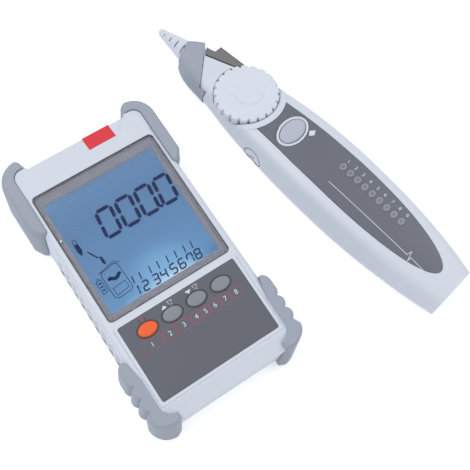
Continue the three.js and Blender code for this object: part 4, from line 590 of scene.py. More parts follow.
shade = ramp.outputs["Color"]
for code, strength, oval_mask in (
    ("#7db0d8", 0.8, blot((2, -10), (27, 22), 0.1)),
    ("#c2def2", 0.95, blot((4, -15), (24, 9))),
    ("#8fb9d6", 0.6, blot((-20, -15), (7, 6))),
    ("#3f7099", 0.75, blot((32, -15), (12, 12))),
    ("#6f9fc4", 0.4, blot((-33, 52), (14, 7))),
):
    shade = tinted(shade, code, oval_mask, strength)
for axis, start, stop in (("X", 30.6, 32.4), ("X", -31, -32.6), ("Y", 50.6, 52.6), ("Y", -12.4, -14)):
    shade = tinted(shade, "#7d8390", faded(axes.outputs[axis], start, stop))
tree.links.new(shade, surface.inputs["Emission Color"])
fit(panel, lcd, "tester", "display", "lcd_panel")


def stroke(start, end, width, pointed=0.0):
    """A bar from start to end: six points, the two at each end drawn back by pointed times half
    the width, so that nought gives square ends."""
    start, end = np.array(start, float), np.array(end, float)
    along = (end - start) / np.linalg.norm(end - start)
    side = np.array([-along[1], along[0]]) * width / 2
    tip = along * width / 2 * pointed
    return np.array([start, start + tip - side, end - tip - side, end, end - tip + side, start + tip + side])


def path(points, width, closed=False):
    """A drawn line as one bar for each stretch, each run on by half the width."""
    points = np.array(points, float)
    ends = np.roll(points, -1, 0) if closed else points[1:]
    starts = points if closed else points[:-1]
    reach = (ends - starts) / np.linalg.norm(ends - starts, axis=1, keepdims=True) * width / 2
    return [stroke(a, b, width) for a, b in zip(starts - reach, ends + reach)]


def figure(digit, x, y, width, height, weight, slant, apart=0.15):
    """A seven-bar figure whose foot's left end is at (x, y). Its bars are pointed, a little apart,
    and lean to the right by slant times the height."""
    corners = {"A": (0, 1), "B": (1, 1), "C": (0, 0.5), "D": (1, 0.5), "E": (0, 0), "F": (1, 0)}
    bars = {"a": "AB", "b": "BD", "c": "DF", "d": "EF", "e": "CE", "f": "AC", "g": "CD"}
    shown = {
        "0": "abcdef", "1": "bc", "2": "abged", "3": "abgcd", "4": "fgbc",
        "5": "afgcd", "6": "afgedc", "7": "abcf", "8": "abcdefg",
    }
    made = []
    for bar in shown[digit]:
        ends = np.array([corners[name] for name in bars[bar]]) * [width, height]
        gap = (ends[1] - ends[0]) / np.linalg.norm(ends[1] - ends[0]) * weight * apart
        shape = stroke(ends[0] + gap, ends[1] - gap, weight, pointed=1)
        made.append(shape + np.column_stack([shape[:, 1] * slant, np.zeros(6)]) + [x, y])
    return made


def printed(name, shapes, height, place=tester_place):
    """Flat outlines laid as thin faces at a height, which is one number or works it out from the
    points. All of them make one piece, and face upwards."""
    points = np.concatenate([np.asarray(shape, float) for shape in shapes])
    points = at_height(points, height(points) if callable(height) else height)
    edges = np.cumsum([0] + [len(shape) for shape in shapes])
    mesh = bpy.data.meshes.new(name)
    mesh.from_pydata(place(points).tolist(), [], [list(range(a, b)) for a, b in zip(edges[:-1], edges[1:])])

    def turn_up(shell):
        bmesh.ops.reverse_faces(shell, faces=[face for face in shell.faces if face.normal.z < 0])

    return placed(name, reworked(mesh, turn_up))


def from_lens(points):
    """Places measured from the middle of the display window's top edge to tester places."""
    return np.asarray(points, float) + [0.3, 57.5 + 0.5]


segments = []
for x in (-13.1, -1.8, 9.5, 20.7):
    segments += figure("0", x, -36.7, 8.2, 14.7, 1.95, slant=0.1)
segments.append(oval(19.1, -36.2, 0.95, 0.95, 16))
for digit, x in zip("12345678", (-17.4, -11.8, -5.8, -1.2, 4.4, 9.4, 14.4, 19.0)):
    segments += figure(digit, x, -69.8, 3.0, 4.9, 0.8, slant=0.14, apart=0)
for x in (-14.2, -10.1, -4.3, 0.4, 5.9, 10.8, 16.0, 20.4):
    segments.append(stroke((x, -63.6), (x + 0.6, -59.6), 0.62))
box = [
    (-25.2, -50.4), (-17.6, -49.2), (-16.1, -50.6), (-15.6, -64),
    (-17.0, -65.4), (-24.6, -65.8), (-26.1, -64.2), (-26.2, -52),
]
screen = [(-24.6, -60.2), (-17.4, -59.6), (-17.2, -63.4), (-24.2, -64.2)]
for points, width, closed in (
    (box, 0.38, True),
    ([(-26.8, -50.2), (-17.4, -48.2), (-14.9, -50.0)], 0.34, False),
    (screen, 0.34, True),
    ([(-30.2, -53.4), (-27.4, -53), (-27.2, -60), (-30, -60.4)], 0.34, True),
    ([(-29.4, -53), (-29.2, -52.2), (-28.2, -52.1), (-28, -52.9)], 0.3, False),
    ([(-29.3, -28.8), (-27.7, -28.7), (-27.5, -31), (-29.4, -31.2)], 0.34, True),
):
    segments += path(points, width, closed)
handset = np.concatenate([arc(-20.6, -53.8, 3.4, 200, 330, 10), arc(-20.6, -53.2, 2.1, 330, 200, 10)])
segments += [handset, oval(-23.6, -55.2, 1.0, 0.9, 14), oval(-17.9, -55.0, 1.0, 0.9, 14)]
segments += [stroke((-29.4, y), (-28, y + 0.2), 0.9) for y in (-54.8, -56.7, -58.6)]
segments += [
    [(-29.6, -31.5), (-27.4, -31.3), (-27.1, -35.2), (-28.1, -37.5), (-28.9, -37.6), (-29.7, -35.4)],
    stroke((-25.6, -37.4), (-22.5, -43.0), 0.75),
    [(-22.0, -42.6), (-20.7, -43.0), (-20.4, -46.4), (-21.2, -48.0), (-22.1, -46.3)],
]
navy = moulded("segment_navy", "#182448", 0.6, grain=0.3, depth=0.0, uneven=0.12, sheen=0.05)
segment_print = printed("display_segments", [from_lens(shape) for shape in segments], PANEL_TOP + 0.06)
fit(segment_print, navy, "tester", "display")

# Keypad cover: a dark grey printed polycarbonate sheet, glued into its bed, with a hole for each
# key. Its print is white and red: marks over the keys and a row of numbered function cells.
COVER_LOW, COVER_TOP = 33.3, 34.1
cover = prism("keypad_cover", grown(OVERLAY, 0, 0.8), COVER_LOW, COVER_TOP, foot=0.05, crown=0.08, steps=3)
carve(cover, *[prism("hole", key_oval(x, 0.6), COVER_LOW - 3, CLEAR) for x in KEY_PLACES])
label_grey = moulded("dark_grey_film", "#5f626b", 0.42, grain=0.35, depth=0.006)
fit(smooth(cover), label_grey, "tester", "dark_label", "keypad_overlay")
# Painted shade: a dark ring laid over the gap round each key.
for i, x in enumerate(KEY_PLACES):
    ring = band(f"key_ring_{i}", oval(x, KEY_ROW, 6.0, 4.22), key_oval(x, 0.15), COVER_LOW, COVER_TOP + 0.06)
    fit(smooth(ring), gap_shade_black, "tester", "dark_label")


def spun(points, turn):
    """Points turned about the upright axis by an angle, counterclockwise from above."""
    cosine, sine = np.cos(turn), np.sin(turn)
    return np.column_stack([points[:, :2] @ np.array([[cosine, sine], [-sine, cosine]]), points[:, 2:]])


def lettering(text, x, y, size, turn=0.0):
    """Plain numerals as flat outlines: text of that size, centred at (x, y) and turned by turn
    degrees. Each face of the filled text is one outline."""
    curve = bpy.data.curves.new("numeral", "FONT")
    curve.body, curve.size = text, size
    curve.align_x, curve.align_y = "CENTER", "CENTER"
    writing = bpy.data.objects.new("numeral", curve)
    mesh = bpy.data.meshes.new_from_object(writing)
    spots = np.empty(len(mesh.vertices) * 3)
    mesh.vertices.foreach_get("co", spots)
    spots = spun(spots.reshape(-1, 3)[:, :2], np.radians(turn)) + [x, y]
    shapes = [spots[list(face.vertices)] for face in mesh.polygons]
    bpy.data.objects.remove(writing)
    bpy.data.curves.remove(curve)
    bpy.data.meshes.remove(mesh)
    return shapes


CELL_EDGES = -29.5 + np.array([0, 12.6, 20.2, 28.7, 34.6, 39.4, 45.6, 51.7, 58.5])
CELL_TOP, CELL_FOOT = -33.9, -39.4
MARK_ROW = -24.0
white_print, red_print = [], []
for number, left, far in zip("12345678", CELL_EDGES[:-1] + 0.25, CELL_EDGES[1:] - 0.25):
    cell = [(left, CELL_FOOT), (far, CELL_FOOT), (far, CELL_TOP), (left, CELL_TOP)]
    red_print += path(cell, 0.22, closed=True)
    white_print += lettering(number, (left + far) / 2, (CELL_TOP + CELL_FOOT) / 2, 3.6)
arrow = np.array([(-1.7, -0.95), (1.7, -0.95), (0, 0.95)])
white_print += [arrow + [-8.9, MARK_ROW - 0.05], [5.4, MARK_ROW - 0.05] - arrow]
bulb = np.array([(-1.2, 1.5), (1.6, 1.5), (0.8, 0.2), (0.7, -1.6), (-0.3, -1.6), (-0.4, 0.2)])
for x in (-5.3, 9.4):
    white_print += path(bulb + [x, MARK_ROW], 0.24, closed=True)
red_print += path(arc(-21.2, MARK_ROW, 1.7, 120, 420, 20), 0.34)
red_print.append(stroke((-21.2, MARK_ROW + 0.2), (-21.2, MARK_ROW + 2.2), 0.36))
print_white = moulded("white_print", "#e4e6ea", 0.5, grain=0.3, depth=0.0, uneven=0.06)
print_red = moulded("red_print", "#b84a5c", 0.5, grain=0.3, depth=0.0, uneven=0.1)
fit(printed("keypad_white_print", white_print, COVER_TOP + 0.03), print_white, "tester", "dark_label")
fit(printed("keypad_red_print", red_print, COVER_TOP + 0.025), print_red, "tester", "dark_label")
window_dot = printed("window_dot", [from_lens(oval(-34, -27, 0.55, 0.55, 20))], PANE_TOP + 0.02)
fit(window_dot, print_white, "tester", "lens")

# Plain red patch on the sloped facet above the window: a self-adhesive strip of vinyl, left bare.
patch_plan = np.array([(3.5, 65.7), (19.2, 65.7), (19.2, 73.9), (3.5, 73.9)])
patch_low = at_height(patch_plan, FACE - FACET_DROP * (patch_plan[:, 1] - FACET_START) / FACET_RUN)
red_patch = skin("red_patch", [patch_low, patch_low + [0, 0, 0.12]], tester_place)
fit(red_patch, moulded("red_vinyl", "#e5343e", 0.45, depth=0.006, uneven=0.04), "tester", "dark_label")

# Four oval keys of silicone rubber, one orange and three grey. They stand up through the cover,
# domed with a soft rim, and each has its flange under the shell's face.
key_grey = moulded("grey_silicone", "#8e9199", 0.55, depth=0.012, sheen=0.4)
key_orange = moulded("orange_silicone", "#f96a34", 0.5, depth=0.012, sheen=0.4)


def domed_key(name, x, y, half, low, top, rim, swell, power, place):
    """An oval key: upright from low to its top and on through a soft rim, then a dome whose height
    is swell times the root of one minus the share across to the power."""
    share = np.linspace(1, 0.05, 14)
    levels = [(low, 1.0), (top, 1.0), *zip(top + rim + swell * np.sqrt(1 - share ** power), share)]
    rows = [at_height(oval(x, y, half[0] * part, half[1] * part), z) for z, part in levels]
    return smooth(skin(name, rows, place), edge=np.radians(60))


for x, key in zip(KEY_PLACES, ("power", "up", "down", "scan")):
    cap = domed_key(f"{key}_button_cap", x, KEY_ROW, KEY_HALF, 28.6, COVER_TOP, 0.25, 0.86, 5, tester_place)
    finish, slot = (key_orange, "orange_key") if key == "power" else (key_grey, "grey_key")
    fit(cap, finish, f"{key}_key", slot, f"{key}_button")

# Sockets in the tester's top end and the receiver's tail: black modular jacks soldered to the
# boards behind the openings. Eight gilt spring wires slant down inside each.
RECEIVER_ORIGIN = np.array([tester_spot.x / MM + 128.6, tester_spot.y / MM - 95.6, 0])
RECEIVER_TURN = np.radians(11.68)


def receiver_place(points):
    """Receiver millimetres (across, along from the tail, up) to world metres: turned about the
    tail by the receiver's angle, then moved to its place."""
    return (spun(points, RECEIVER_TURN) + RECEIVER_ORIGIN) * MM


jack_black = moulded("jack_black", "#26282c", 0.45, grain=0.4, depth=0.01, uneven=0.1)
gilt = moulded("gilt_wire", "#d3a94a", 0.25, grain=0.2, depth=0.0, uneven=0.1, metal=1.0)
MOUTH, WIRE_PITCH = 73.4, 1.02
WIRE_SIDE = np.array([[-0.2, 0, 0], [0.2, 0, 0], [0.2, 0, 0.3], [-0.2, 0, 0.3]])
for node, middle, mouth, way, place, body in (
    ("main_port", -11.5, MOUTH, -1, tester_place, "tester"),
    ("loopback_port", 11.5, MOUTH, -1, tester_place, "tester"),
    ("receiver_port", 0, 0.9, 1, receiver_place, "receiver"),
):
    dressed(node, jack_black, body, "black_plastic")
    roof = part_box(node)[1].z / MM - 1.8
    wires = [skin("wire", [
        WIRE_SIDE + [x, mouth + way * depth, roof - under] for depth, under in ((12.9, 2.9), (2.5, 0.5))
    ], place) for x in middle + (np.arange(8) - 3.5) * WIRE_PITCH]
    fit(joined(f"{node}_wires", wires), gilt, body, "brass")

# Receiver housing: two long white shells, parted along the flanks, waisted towards the nose and
# crowned on top. Moulded in the same grained plastic, they close round the boards and are screwed
# together from below. A raised crescent stands behind the dial, and a bed holds the label.
HALF, TALL, LONG = 22.8, 27, 203.5
PROFILE = np.array([
    [-0.03, 0.66, 0.855], [0, 0.686, 0.87], [0.074, 0.796, 0.933], [0.197, 0.92, 0.985], [0.319, 0.982, 1],
    [0.418, 1, 1], [0.516, 0.987, 0.968], [0.609, 0.942, 0.905], [0.737, 0.836, 0.745], [0.85, 0.673, 0.645],
    [0.924, 0.611, 0.607], [0.973, 0.46, 0.578], [1, 0.389, 0.526], [1.03, 0.33, 0.48],
])
CREST = 1.1
DIAL_ALONG, DIAL_TILT, DIAL_RADIUS = 154.8, np.radians(8), 19.1
DIAL_TOP, DIAL_RAISED, DIAL_POCKET, CRESCENT_RADIUS = 20.6, 0.9, 19.3, 22.4
LEVER_TRAVEL = 1.32
COLLAR_REAR, COLLAR_SLANT = 187.8, np.tan(np.radians(38.7))
TIP_START, TIP_HEIGHT, TIP_RUN, TIP_DROP = 193.6, 8.1, 26.8, 5.9
TIP_LENGTH, TIP_DIP = float(np.hypot(TIP_RUN, TIP_DROP)), np.arctan2(TIP_DROP, TIP_RUN)
CONE_BASE, CONE_POINT, CONE_ROOM, CONE_ASIDE = 7.8, 2.3, 8.2, 0.45
EAR_ALONG, EAR_HEIGHT, EAR_RADIUS = 128.2, 8.8, 6.35
MODE_ALONG, MODE_SLIM = 120.5, 3.25
DOOR_END = 73.4


def half_and_height(along):
    """The handle's half-width and height at places along it: a smooth cubic through the profile's
    rows, whose slope at each row is that between its two neighbours."""
    at, rows = np.atleast_1d(along) / LONG, PROFILE
    before = rows[np.maximum(np.arange(len(rows)) - 1, 0)]
    after = rows[np.minimum(np.arange(len(rows)) + 1, len(rows) - 1)]
    slope = (after[:, 1:] - before[:, 1:]) / (after[:, :1] - before[:, :1])
    row = np.clip(np.searchsorted(rows[:, 0], at) - 1, 0, len(rows) - 2)
    span = (rows[row + 1, 0] - rows[row, 0])[:, None]
    t = np.clip((at - rows[row, 0])[:, None] / span, 0, 1)
    t2, t3 = t * t, t ** 3
    value = rows[row, 1:] * (2 * t3 - 3 * t2 + 1) + slope[row] * span * (t3 - 2 * t2 + t)
    value = value + rows[row + 1, 1:] * (3 * t2 - 2 * t3) + slope[row + 1] * span * (t3 - t2)
    return value[:, 0] * HALF, value[:, 1] * TALL


def shoulder_radius(half, high, grow=0.0):
    """The radius of the handle's round shoulder, less where the handle is slim."""
    return np.minimum(np.minimum(7 + grow, half / 2), high / 3)


def handle_rings(near, far, grow, step):
    """Closed sections along the handle: a rounded foot, a flank that leans out to the waist and
    back in, a round shoulder, and a top that falls by CREST times the square of the share across."""
    along = np.linspace(near, far, int(np.ceil((far - near) / step)) + 1)
    half, high = half_and_height(along)
    half, high, low = half + grow, high + grow, np.full(len(along), -grow)
    foot = np.minimum(np.minimum(6 + grow, half / 2), (high - low) / 3)
    shoulder = shoulder_radius(half, high - low, grow)
    crest = CREST * half / HALF
    foot_half = half - 0.6 - 1.6 * np.maximum(1 - along / 60, 0)
    top_half = half - 0.8
    turn, rise = np.linspace(-np.pi / 2, 0, 8), np.linspace(0, np.pi / 2, 11)
    inward = np.linspace(1, 0, 8)[1:]
    across = np.concatenate([
        (foot_half - foot)[:, None] + foot[:, None] * np.cos(turn),
        half[:, None],
        (top_half - shoulder)[:, None] + shoulder[:, None] * np.cos(rise),
        (top_half - shoulder)[:, None] * inward,
    ], 1)
    level = np.concatenate([
        (low + foot)[:, None] + foot[:, None] * np.sin(turn),
        np.minimum(11, (low + high) / 2)[:, None],
        (high - crest - shoulder)[:, None] + shoulder[:, None] * np.sin(rise),
        high[:, None] - crest[:, None] * inward ** 2,
    ], 1)
    across = np.concatenate([across, -across[:, -2::-1]], 1)
    level = np.concatenate([level, level[:, -2::-1]], 1)
    return np.stack([across, np.repeat(along[:, None], across.shape[1], 1), level], -1)


def handle(name, near, far, grow=0.0, lift=0.0, step=2.4):
    """The handle's form between two places along it, grown all round and lifted."""
    return skin(name, handle_rings(near, far, grow, step) + [0, 0, lift], receiver_place)


def top_at(points):
    """The height of the handle's top over places (across, along)."""
    half, high = half_and_height(points[:, 1])
    top_half = half - 0.8 - shoulder_radius(half, high)
    return high - CREST * half / HALF * (points[:, 0] / top_half) ** 2


def side_prism(name, outline, reach=30):
    """An outline drawn as (along, height), carried across the receiver from left to right."""
    outline = np.array(outline, float)
    rows = [np.column_stack([np.full(len(outline), u), outline]) for u in (-reach, reach)]
    return skin(name, rows, receiver_place)


def above_parting(shift):
    """The space over the parting line, which dips by 2 mm towards the nose."""
    line = np.array([[-9, 9.5], [150, 9.5], [LONG, 7.5], [230, 7.5]]) + [0, shift]
    return side_prism("above", [*line, [230, CLEAR], [-9, CLEAR]])


def ahead_of_collar(grow=0.0):
    """The space ahead of the collar's rear edge: it runs on a slant over the top, and a tab
    reaches back down the left flank."""
    slant_end = [[u, COLLAR_REAR + u * COLLAR_SLANT] for u in (26, -14.1)]
    plan = np.array([slant_end[0], [26, 226], [-26, 226], [-26, 172.6], [-14.1, 172.6], slant_end[1]])
    return prism("collar_space", moved_in(plan, -grow), -3, 32, receiver_place)


def dial_frame(points):
    """Places in the dial's own frame (across, along, up its axis) to the receiver's: tilted
    forwards by the dial's angle and set at its top."""
    x, y, h = points.T
    h = h + DIAL_RAISED
    along = DIAL_ALONG + y * np.cos(DIAL_TILT) + h * np.sin(DIAL_TILT)
    height = DIAL_TOP - y * np.sin(DIAL_TILT) + h * np.cos(DIAL_TILT)
    return receiver_place(np.stack([x, along, height], -1))


def tip_frame(points):
    """Places in the cone's own frame (across, away from the back, along its axis) to the
    receiver's: its axis dips towards the point."""
    x, y, h = points.T
    along = TIP_START + h * np.cos(TIP_DIP) + y * np.sin(TIP_DIP)
    height = TIP_HEIGHT - h * np.sin(TIP_DIP) + y * np.cos(TIP_DIP)
    return receiver_place(np.stack([x - CONE_ASIDE, along, height], -1))


def ear_frame(points):
    """Places in the earphone socket's own frame (up, along, out of the left flank)."""
    up, along, out = points.T
    return receiver_place(np.stack([-out, EAR_ALONG + along, EAR_HEIGHT + up], -1))


def lever_room(gap_rear, gap_front, low):
    """The side lever's room in plan: its inner edge runs from the rear pivot to the collar."""
    inner = 2.2 - gap_front
    plan = [
        [18.9 - gap_rear, 137.5 - gap_rear], [26, 137.5 - gap_rear], [26, LONG], [inner, LONG],
        [inner, COLLAR_REAR + 2.2 * COLLAR_SLANT], [9.4 - gap_front, 172.2],
    ]
    return prism("lever_room", plan, low, 32, receiver_place)


def turned(name, rows, place, count=64):
    """A profile of (radius, height) rows turned about the axis: radius times cosine and sine."""
    rows = [(max(radius, 0.02), height) for radius, height in rows]
    return skin(name, [at_height(oval(0, 0, radius, radius, count), height) for radius, height in rows], place)


def label_outline(grow=0.0):
    """The label in plan: a blunt oval end towards the tail, nearly straight sides, and an end
    hollowed round the dial's crescent."""
    near, widest, half, radius = 11.5 - grow, 82, 14 + grow, CRESCENT_RADIUS - grow
    along = near + (widest - near) * (np.arange(1, 25) / 24) ** 2
    rest = (widest - along) / (widest - near)
    blunt = np.column_stack([half * np.sqrt(1 - rest ** 2.3), along])
    edge, hollow_foot = np.degrees(np.arcsin((11.6 + grow) / radius)), DIAL_ALONG - radius
    hollow = arc(0, DIAL_ALONG, radius, -90 + edge, -90, 16)[:-1]
    side = np.concatenate([blunt, [[half - 0.6, (widest + hollow_foot) / 2]], hollow])
    return np.concatenate([[[0, near]], side, [[0, hollow_foot]], mirrored(side)])


def bores(places, radius, low, high, count):
    """Upright round holes at places (across, along) of the receiver."""
    return [prism("bore", oval(u, v, radius, radius, count), low, high, receiver_place) for u, v in places]


def mode_oval(half):
    """An oval round the mode key, of that half-width across and a little less along."""
    return oval(0, MODE_ALONG, half, half - MODE_SLIM)


def mode_hole():
    """The opening for the mode key and its ring."""
    return prism("mode_hole", mode_oval(10.8), 9, CLEAR, receiver_place)


def dial_pocket(radius, foot):
    """The dial's round pocket, from its foot upwards."""
    return turned("dial_pocket", [(radius, foot), (radius, 20)], dial_frame, 128)


def shell_cuts():
    """What is cut from both shells: behind the leaning tail face, ahead of the collar's rear edge,
    the inside, the rooms of lever and cone, the earphone socket's hole and the tail socket."""
    keep = turned("keep", [(20.9, -9), (20.9, 20)], dial_frame)
    return [
        side_prism("tail_cut", [[-12, -3], [-2.667, -3], [0.267, 30], [-12, 30]]),
        ahead_of_collar(0.15),
        carve(handle("hollow", 3, 168, -2), keep, lever_room(2, 3.4, 0)),
        lever_room(0.3, 0.3 + LEVER_TRAVEL, 3.7),
        turned("cone_room", [(CONE_ROOM, 0), (CONE_ROOM, 40)], tip_frame),
        prism("ear_hole", oval(0, 0, EAR_RADIUS, EAR_RADIUS), 16, 30, ear_frame),
        side_prism("tail_recess", [[-9, 5.4], [-9, 22.6], [0.72, 22.6], [-0.78, 5.4]], 10),
        side_prism("tail_socket", [[-9, 5.8], [-9, 19.6], [18.9, 19.6], [18.9, 5.8]], 8.3),
    ]


upper = handle("receiver_top", -8, LONG)
carve(upper, above_parting(0.1), operation="INTERSECT")
label_bed = prism("label_bed", label_outline(0.3), 9, CLEAR, receiver_place)
carve(label_bed, handle("under_bed", 6, 142, 0, -0.9))
carve(upper, *shell_cuts(), dial_pocket(DIAL_POCKET - 0.5, -6.6), mode_hole(), label_bed)
in_white(upper, "receiver", "receiver_upper_shell")

crescent = handle("dial_crescent", 126, 150, 0, 0.45, step=1.5)
carve(crescent, *bores([(0, DIAL_ALONG)], CRESCENT_RADIUS, 12, CLEAR, 160), operation="INTERSECT")
carve(crescent, dial_pocket(DIAL_POCKET, -9))
in_white(crescent, "receiver")

lower = handle("receiver_base", -8, LONG)
DOOR_SECTION = np.array([[-14.8, 0], [14.8, 0], [16, 2.4], [-16, 2.4]])
doorway = [np.insert(DOOR_SECTION, 1, v, 1) for v in (-9, DOOR_END)]
carve(
    lower,
    above_parting(-0.1),
    *shell_cuts(),
    skin("doorway", doorway, receiver_place),
    prism("door_mouth", rounded(-14.8, 14.8, -9, DOOR_END, 0.3), -3, 0.4, receiver_place),
    prism("battery_room", rounded(-13.4, 13.4, 21.7, 73, 0.3), 0.3, 3, receiver_place),
    *bores([*arc(0, 100, 5, 0, 300, 5), (0, 100)], 0.9, -3, 5, 20),
    *bores([(15.5, 81), (-15.5, 81), (13.5, 116), (-13.5, 116)], 2.8, -3, 2.7, 32),
)
in_white(lower, "receiver", "receiver_lower_shell")
dressed("receiver_battery_door", shell_white, "receiver_door", "white_plastic")
dressed("earphone_socket", shell_white, "receiver", "white_plastic")
# Painted shade: a thin dark ring laid flush over the seam round the earphone socket, where the gap's shadow
# falls.
ear_seam_shade = handle("earphone_seam_shade", 119, 138, 0.06, step=1.5)
ear_radii = EAR_RADIUS + 0.25, EAR_RADIUS - 0.15
outside, inside = (prism("round", oval(0, 0, radius, radius), 14, 32, ear_frame) for radius in ear_radii)
carve(ear_seam_shade, outside, operation="INTERSECT")
carve(ear_seam_shade, inside, handle("under_seam", 117, 140, -0.3, step=1.5))
fit(smooth(ear_seam_shade), gap_shade_black, "receiver", "white_plastic")

# Rubber collar behind the nose: a soft grey sleeve with a slanted rear edge and a tab down the
# left flank. It grips the shells' neck and holds the cone.
collar = handle("nose_sleeve", 168, 206, 0.8, step=1.5)
carve(collar, ahead_of_collar(), operation="INTERSECT")
FRONT_FOOT, FRONT_TOP, FRONT_TURN = 197.3, 201.0, np.radians(17)
lean = (FRONT_TOP - FRONT_FOOT) / half_and_height(FRONT_TOP)[1][0]
front = np.array([[-lean * 3, -3], [30, -3], [30, 30], [lean * 30, 30]])


def front_frame(points):
    """Turned to the left about the vertical through the collar's foot, then set there."""
    return receiver_place(spun(points, FRONT_TURN) + [0, FRONT_FOOT, 0])


nose_foot = np.array([[24.3, 186.3], [-9.8, 226.3], [60, 226.3], [60, 186.3]])
nose_lean = np.array([[1, 0], [1, 0], [0, 0], [0, 0]])
nose_cut = [at_height(nose_foot - nose_lean * shift, z) for shift, z in ((-5.2, -3), (29.4, 38))]
carve(
    collar,
    skin("front_cut", [np.insert(front, 0, u, 1) for u in (-30, 30)], front_frame),
    prism("ground", rounded(-30, 30, 160, 215, 1), -4, 0.25, receiver_place),
    skin("right_nose", nose_cut, receiver_place),
    handle("neck_room", 160, 193.6, -1.8, step=1.5),
    turned("cone_room", [(CONE_ROOM, -2), (8.0, 0), (CONE_POINT + 0.2, TIP_LENGTH)], tip_frame),
)
fit(smooth(collar, rim=0.4), bumper_rubber, "receiver", "grey_rubber", "tip_collar")

# Nose cone: white plastic over the antenna, with a round point and four short slots that grow longer
# towards the collar. Dark plates sunk in the slots are painted shadow.
lean_in = np.arcsin((CONE_BASE - CONE_POINT) / TIP_LENGTH)
point = lean_in + (np.pi / 2 - lean_in) * np.linspace(0, 0.97, 10)
point_rows = zip(CONE_POINT * np.cos(point), TIP_LENGTH - 0.3 + CONE_POINT * np.sin(point))
cone = turned("nose_cone", [(3.2, -8), (3.2, 0), (CONE_BASE, 0), *point_rows], tip_frame)
SLOT_TURN = 118
slot_tools, slot_shadow_plates = [], []
for slot, reach in enumerate((0.5, 1.3, 2.2, 3.0)):
    middle = 23.3 - slot * 5.5
    radius = CONE_BASE - (CONE_BASE - CONE_POINT) * middle / TIP_LENGTH
    sector = np.degrees(np.arcsin(reach / radius))
    start, stop = SLOT_TURN - sector, SLOT_TURN + sector
    for inner, outer, half, made in ((-0.5, 1, 0.36, slot_tools), (-0.52, -0.3, 0.38, slot_shadow_plates)):
        plan = [arc(0, 0, radius + outer, start, stop, 12), arc(0, 0, radius + inner, stop, start, 12)]
        made.append(prism("slot", np.concatenate(plan), middle - half, middle + half, tip_frame))
carve(cone, *slot_tools)
in_white(cone, "receiver", "probe_tip")
fit(joined("cone_slot_shadows", slot_shadow_plates), gap_shade_black, "receiver", "white_plastic")

# Sensitivity dial: a white thumb wheel with twenty-one grooves round its rim and a low raised disc,
# on which a horn-shaped scale and two dots stand up a little. It turns on a steel spindle.
GROOVES, GROOVE_PHASE, GROOVE_HALF = 21, np.radians(4.4), 0.85
around = np.arange(360) * 2 * np.pi / 360
groove_turn = (around - GROOVE_PHASE + np.pi / GROOVES) % (2 * np.pi / GROOVES) - np.pi / GROOVES
groove_shape = np.clip(1 - (groove_turn * DIAL_RADIUS / GROOVE_HALF) ** 2, 0, 1)
DIAL_ROWS = [
    (-5.5, 17.9, 1.4), (-5.2, 18.35, 1.5), (-2.2, 18.45, 1.6), (-1.5, 18.4, 1.6), (-1.0, 18.2, 1.5),
    (-0.65, 17.8, 1.15), (-0.42, 17.2, 0.6), (-0.36, 16.4, 0), (-0.42, 15.5, 0), (-0.36, 15.15, 0),
    (-0.08, 14.8, 0), (0, 14.4, 0), (0, 12, 0),
]


def polar(radius, turn):
    """Points at a radius and an angle."""
    return np.stack([radius * np.cos(turn), radius * np.sin(turn)], -1)


dial_rings = [
    at_height(polar(radius - depth * groove_shape, around), level) for level, radius, depth in DIAL_ROWS
]
dial_white = moulded("white_dial", "#e2e7f1", 0.42, grain=0.45, depth=0.012, uneven=0.03)
wheel = skin("dial_wheel", dial_rings, dial_frame)
fit(smooth(wheel), dial_white, "dial", "white_plastic", "sensitivity_dial")
share = np.linspace(0, 1, 40)
horn_turn = np.radians(150 + 190 * share)
outside, inside = polar(6.9 + 3.1 * share ** 1.3, horn_turn), polar(6.7 + 0.8 * share, horn_turn)
relief = [prism("horn", np.concatenate([outside, inside[::-1]]), -0.1, 0.3, dial_frame)]
for x, y in ((-2.3, 7.4), (-6.4, 5.6)):
    relief.append(prism("dot", oval(x, y, 0.55, 0.55, 24), -0.1, 0.25, dial_frame))
fit(smooth(joined("dial_relief", relief)), dial_white, "dial", "white_plastic")

# Side lever of dark plastic: it lies in its slit in the right flank, beside the dial, and hinges
# at its rear end. A dark line of shadow runs between it and the shell.
lever_grey = moulded("lever_plastic", "#7c797b", 0.5, grain=0.5, depth=0.02, uneven=0.1)
dressed("lamp_lever", lever_grey, "lever", "dark_plastic", rim=0.25)

# Receiver label: a dark grey printed film sunk flush in its bed on the top. It has openings for
# the mode key and for nine clear signal lights, and a white print: numerals, a pulse line, a mark.
LIGHT_PLACES, LIGHT_ACROSS = 44.6 + np.arange(9) * 5.33, 4.4


def on_top(outline, lift):
    """An outline in plan laid on the handle's top, lifted by a constant."""
    return at_height(outline, top_at(outline) + lift)


def light_outline(along, grow=0.0):
    """One signal light seen from above."""
    return oval(LIGHT_ACROSS, along, 2.5 + grow, 2 + grow, 40)


label_plate = prism("label_film", label_outline(), 9, CLEAR, receiver_place)
carve(label_plate, handle("label_top", -8, LONG), operation="INTERSECT")
carve(
    label_plate,
    handle("label_under", -8, LONG, 0, -0.6),
    mode_hole(),
    *[prism("light_hole", light_outline(along, 0.1), 9, CLEAR, receiver_place) for along in LIGHT_PLACES],
)
label_film = moulded("label_film", "#696c77", 0.45, grain=0.35, depth=0.006)
fit(smooth(label_plate), label_film, "receiver", "dark_label", "receiver_overlay")

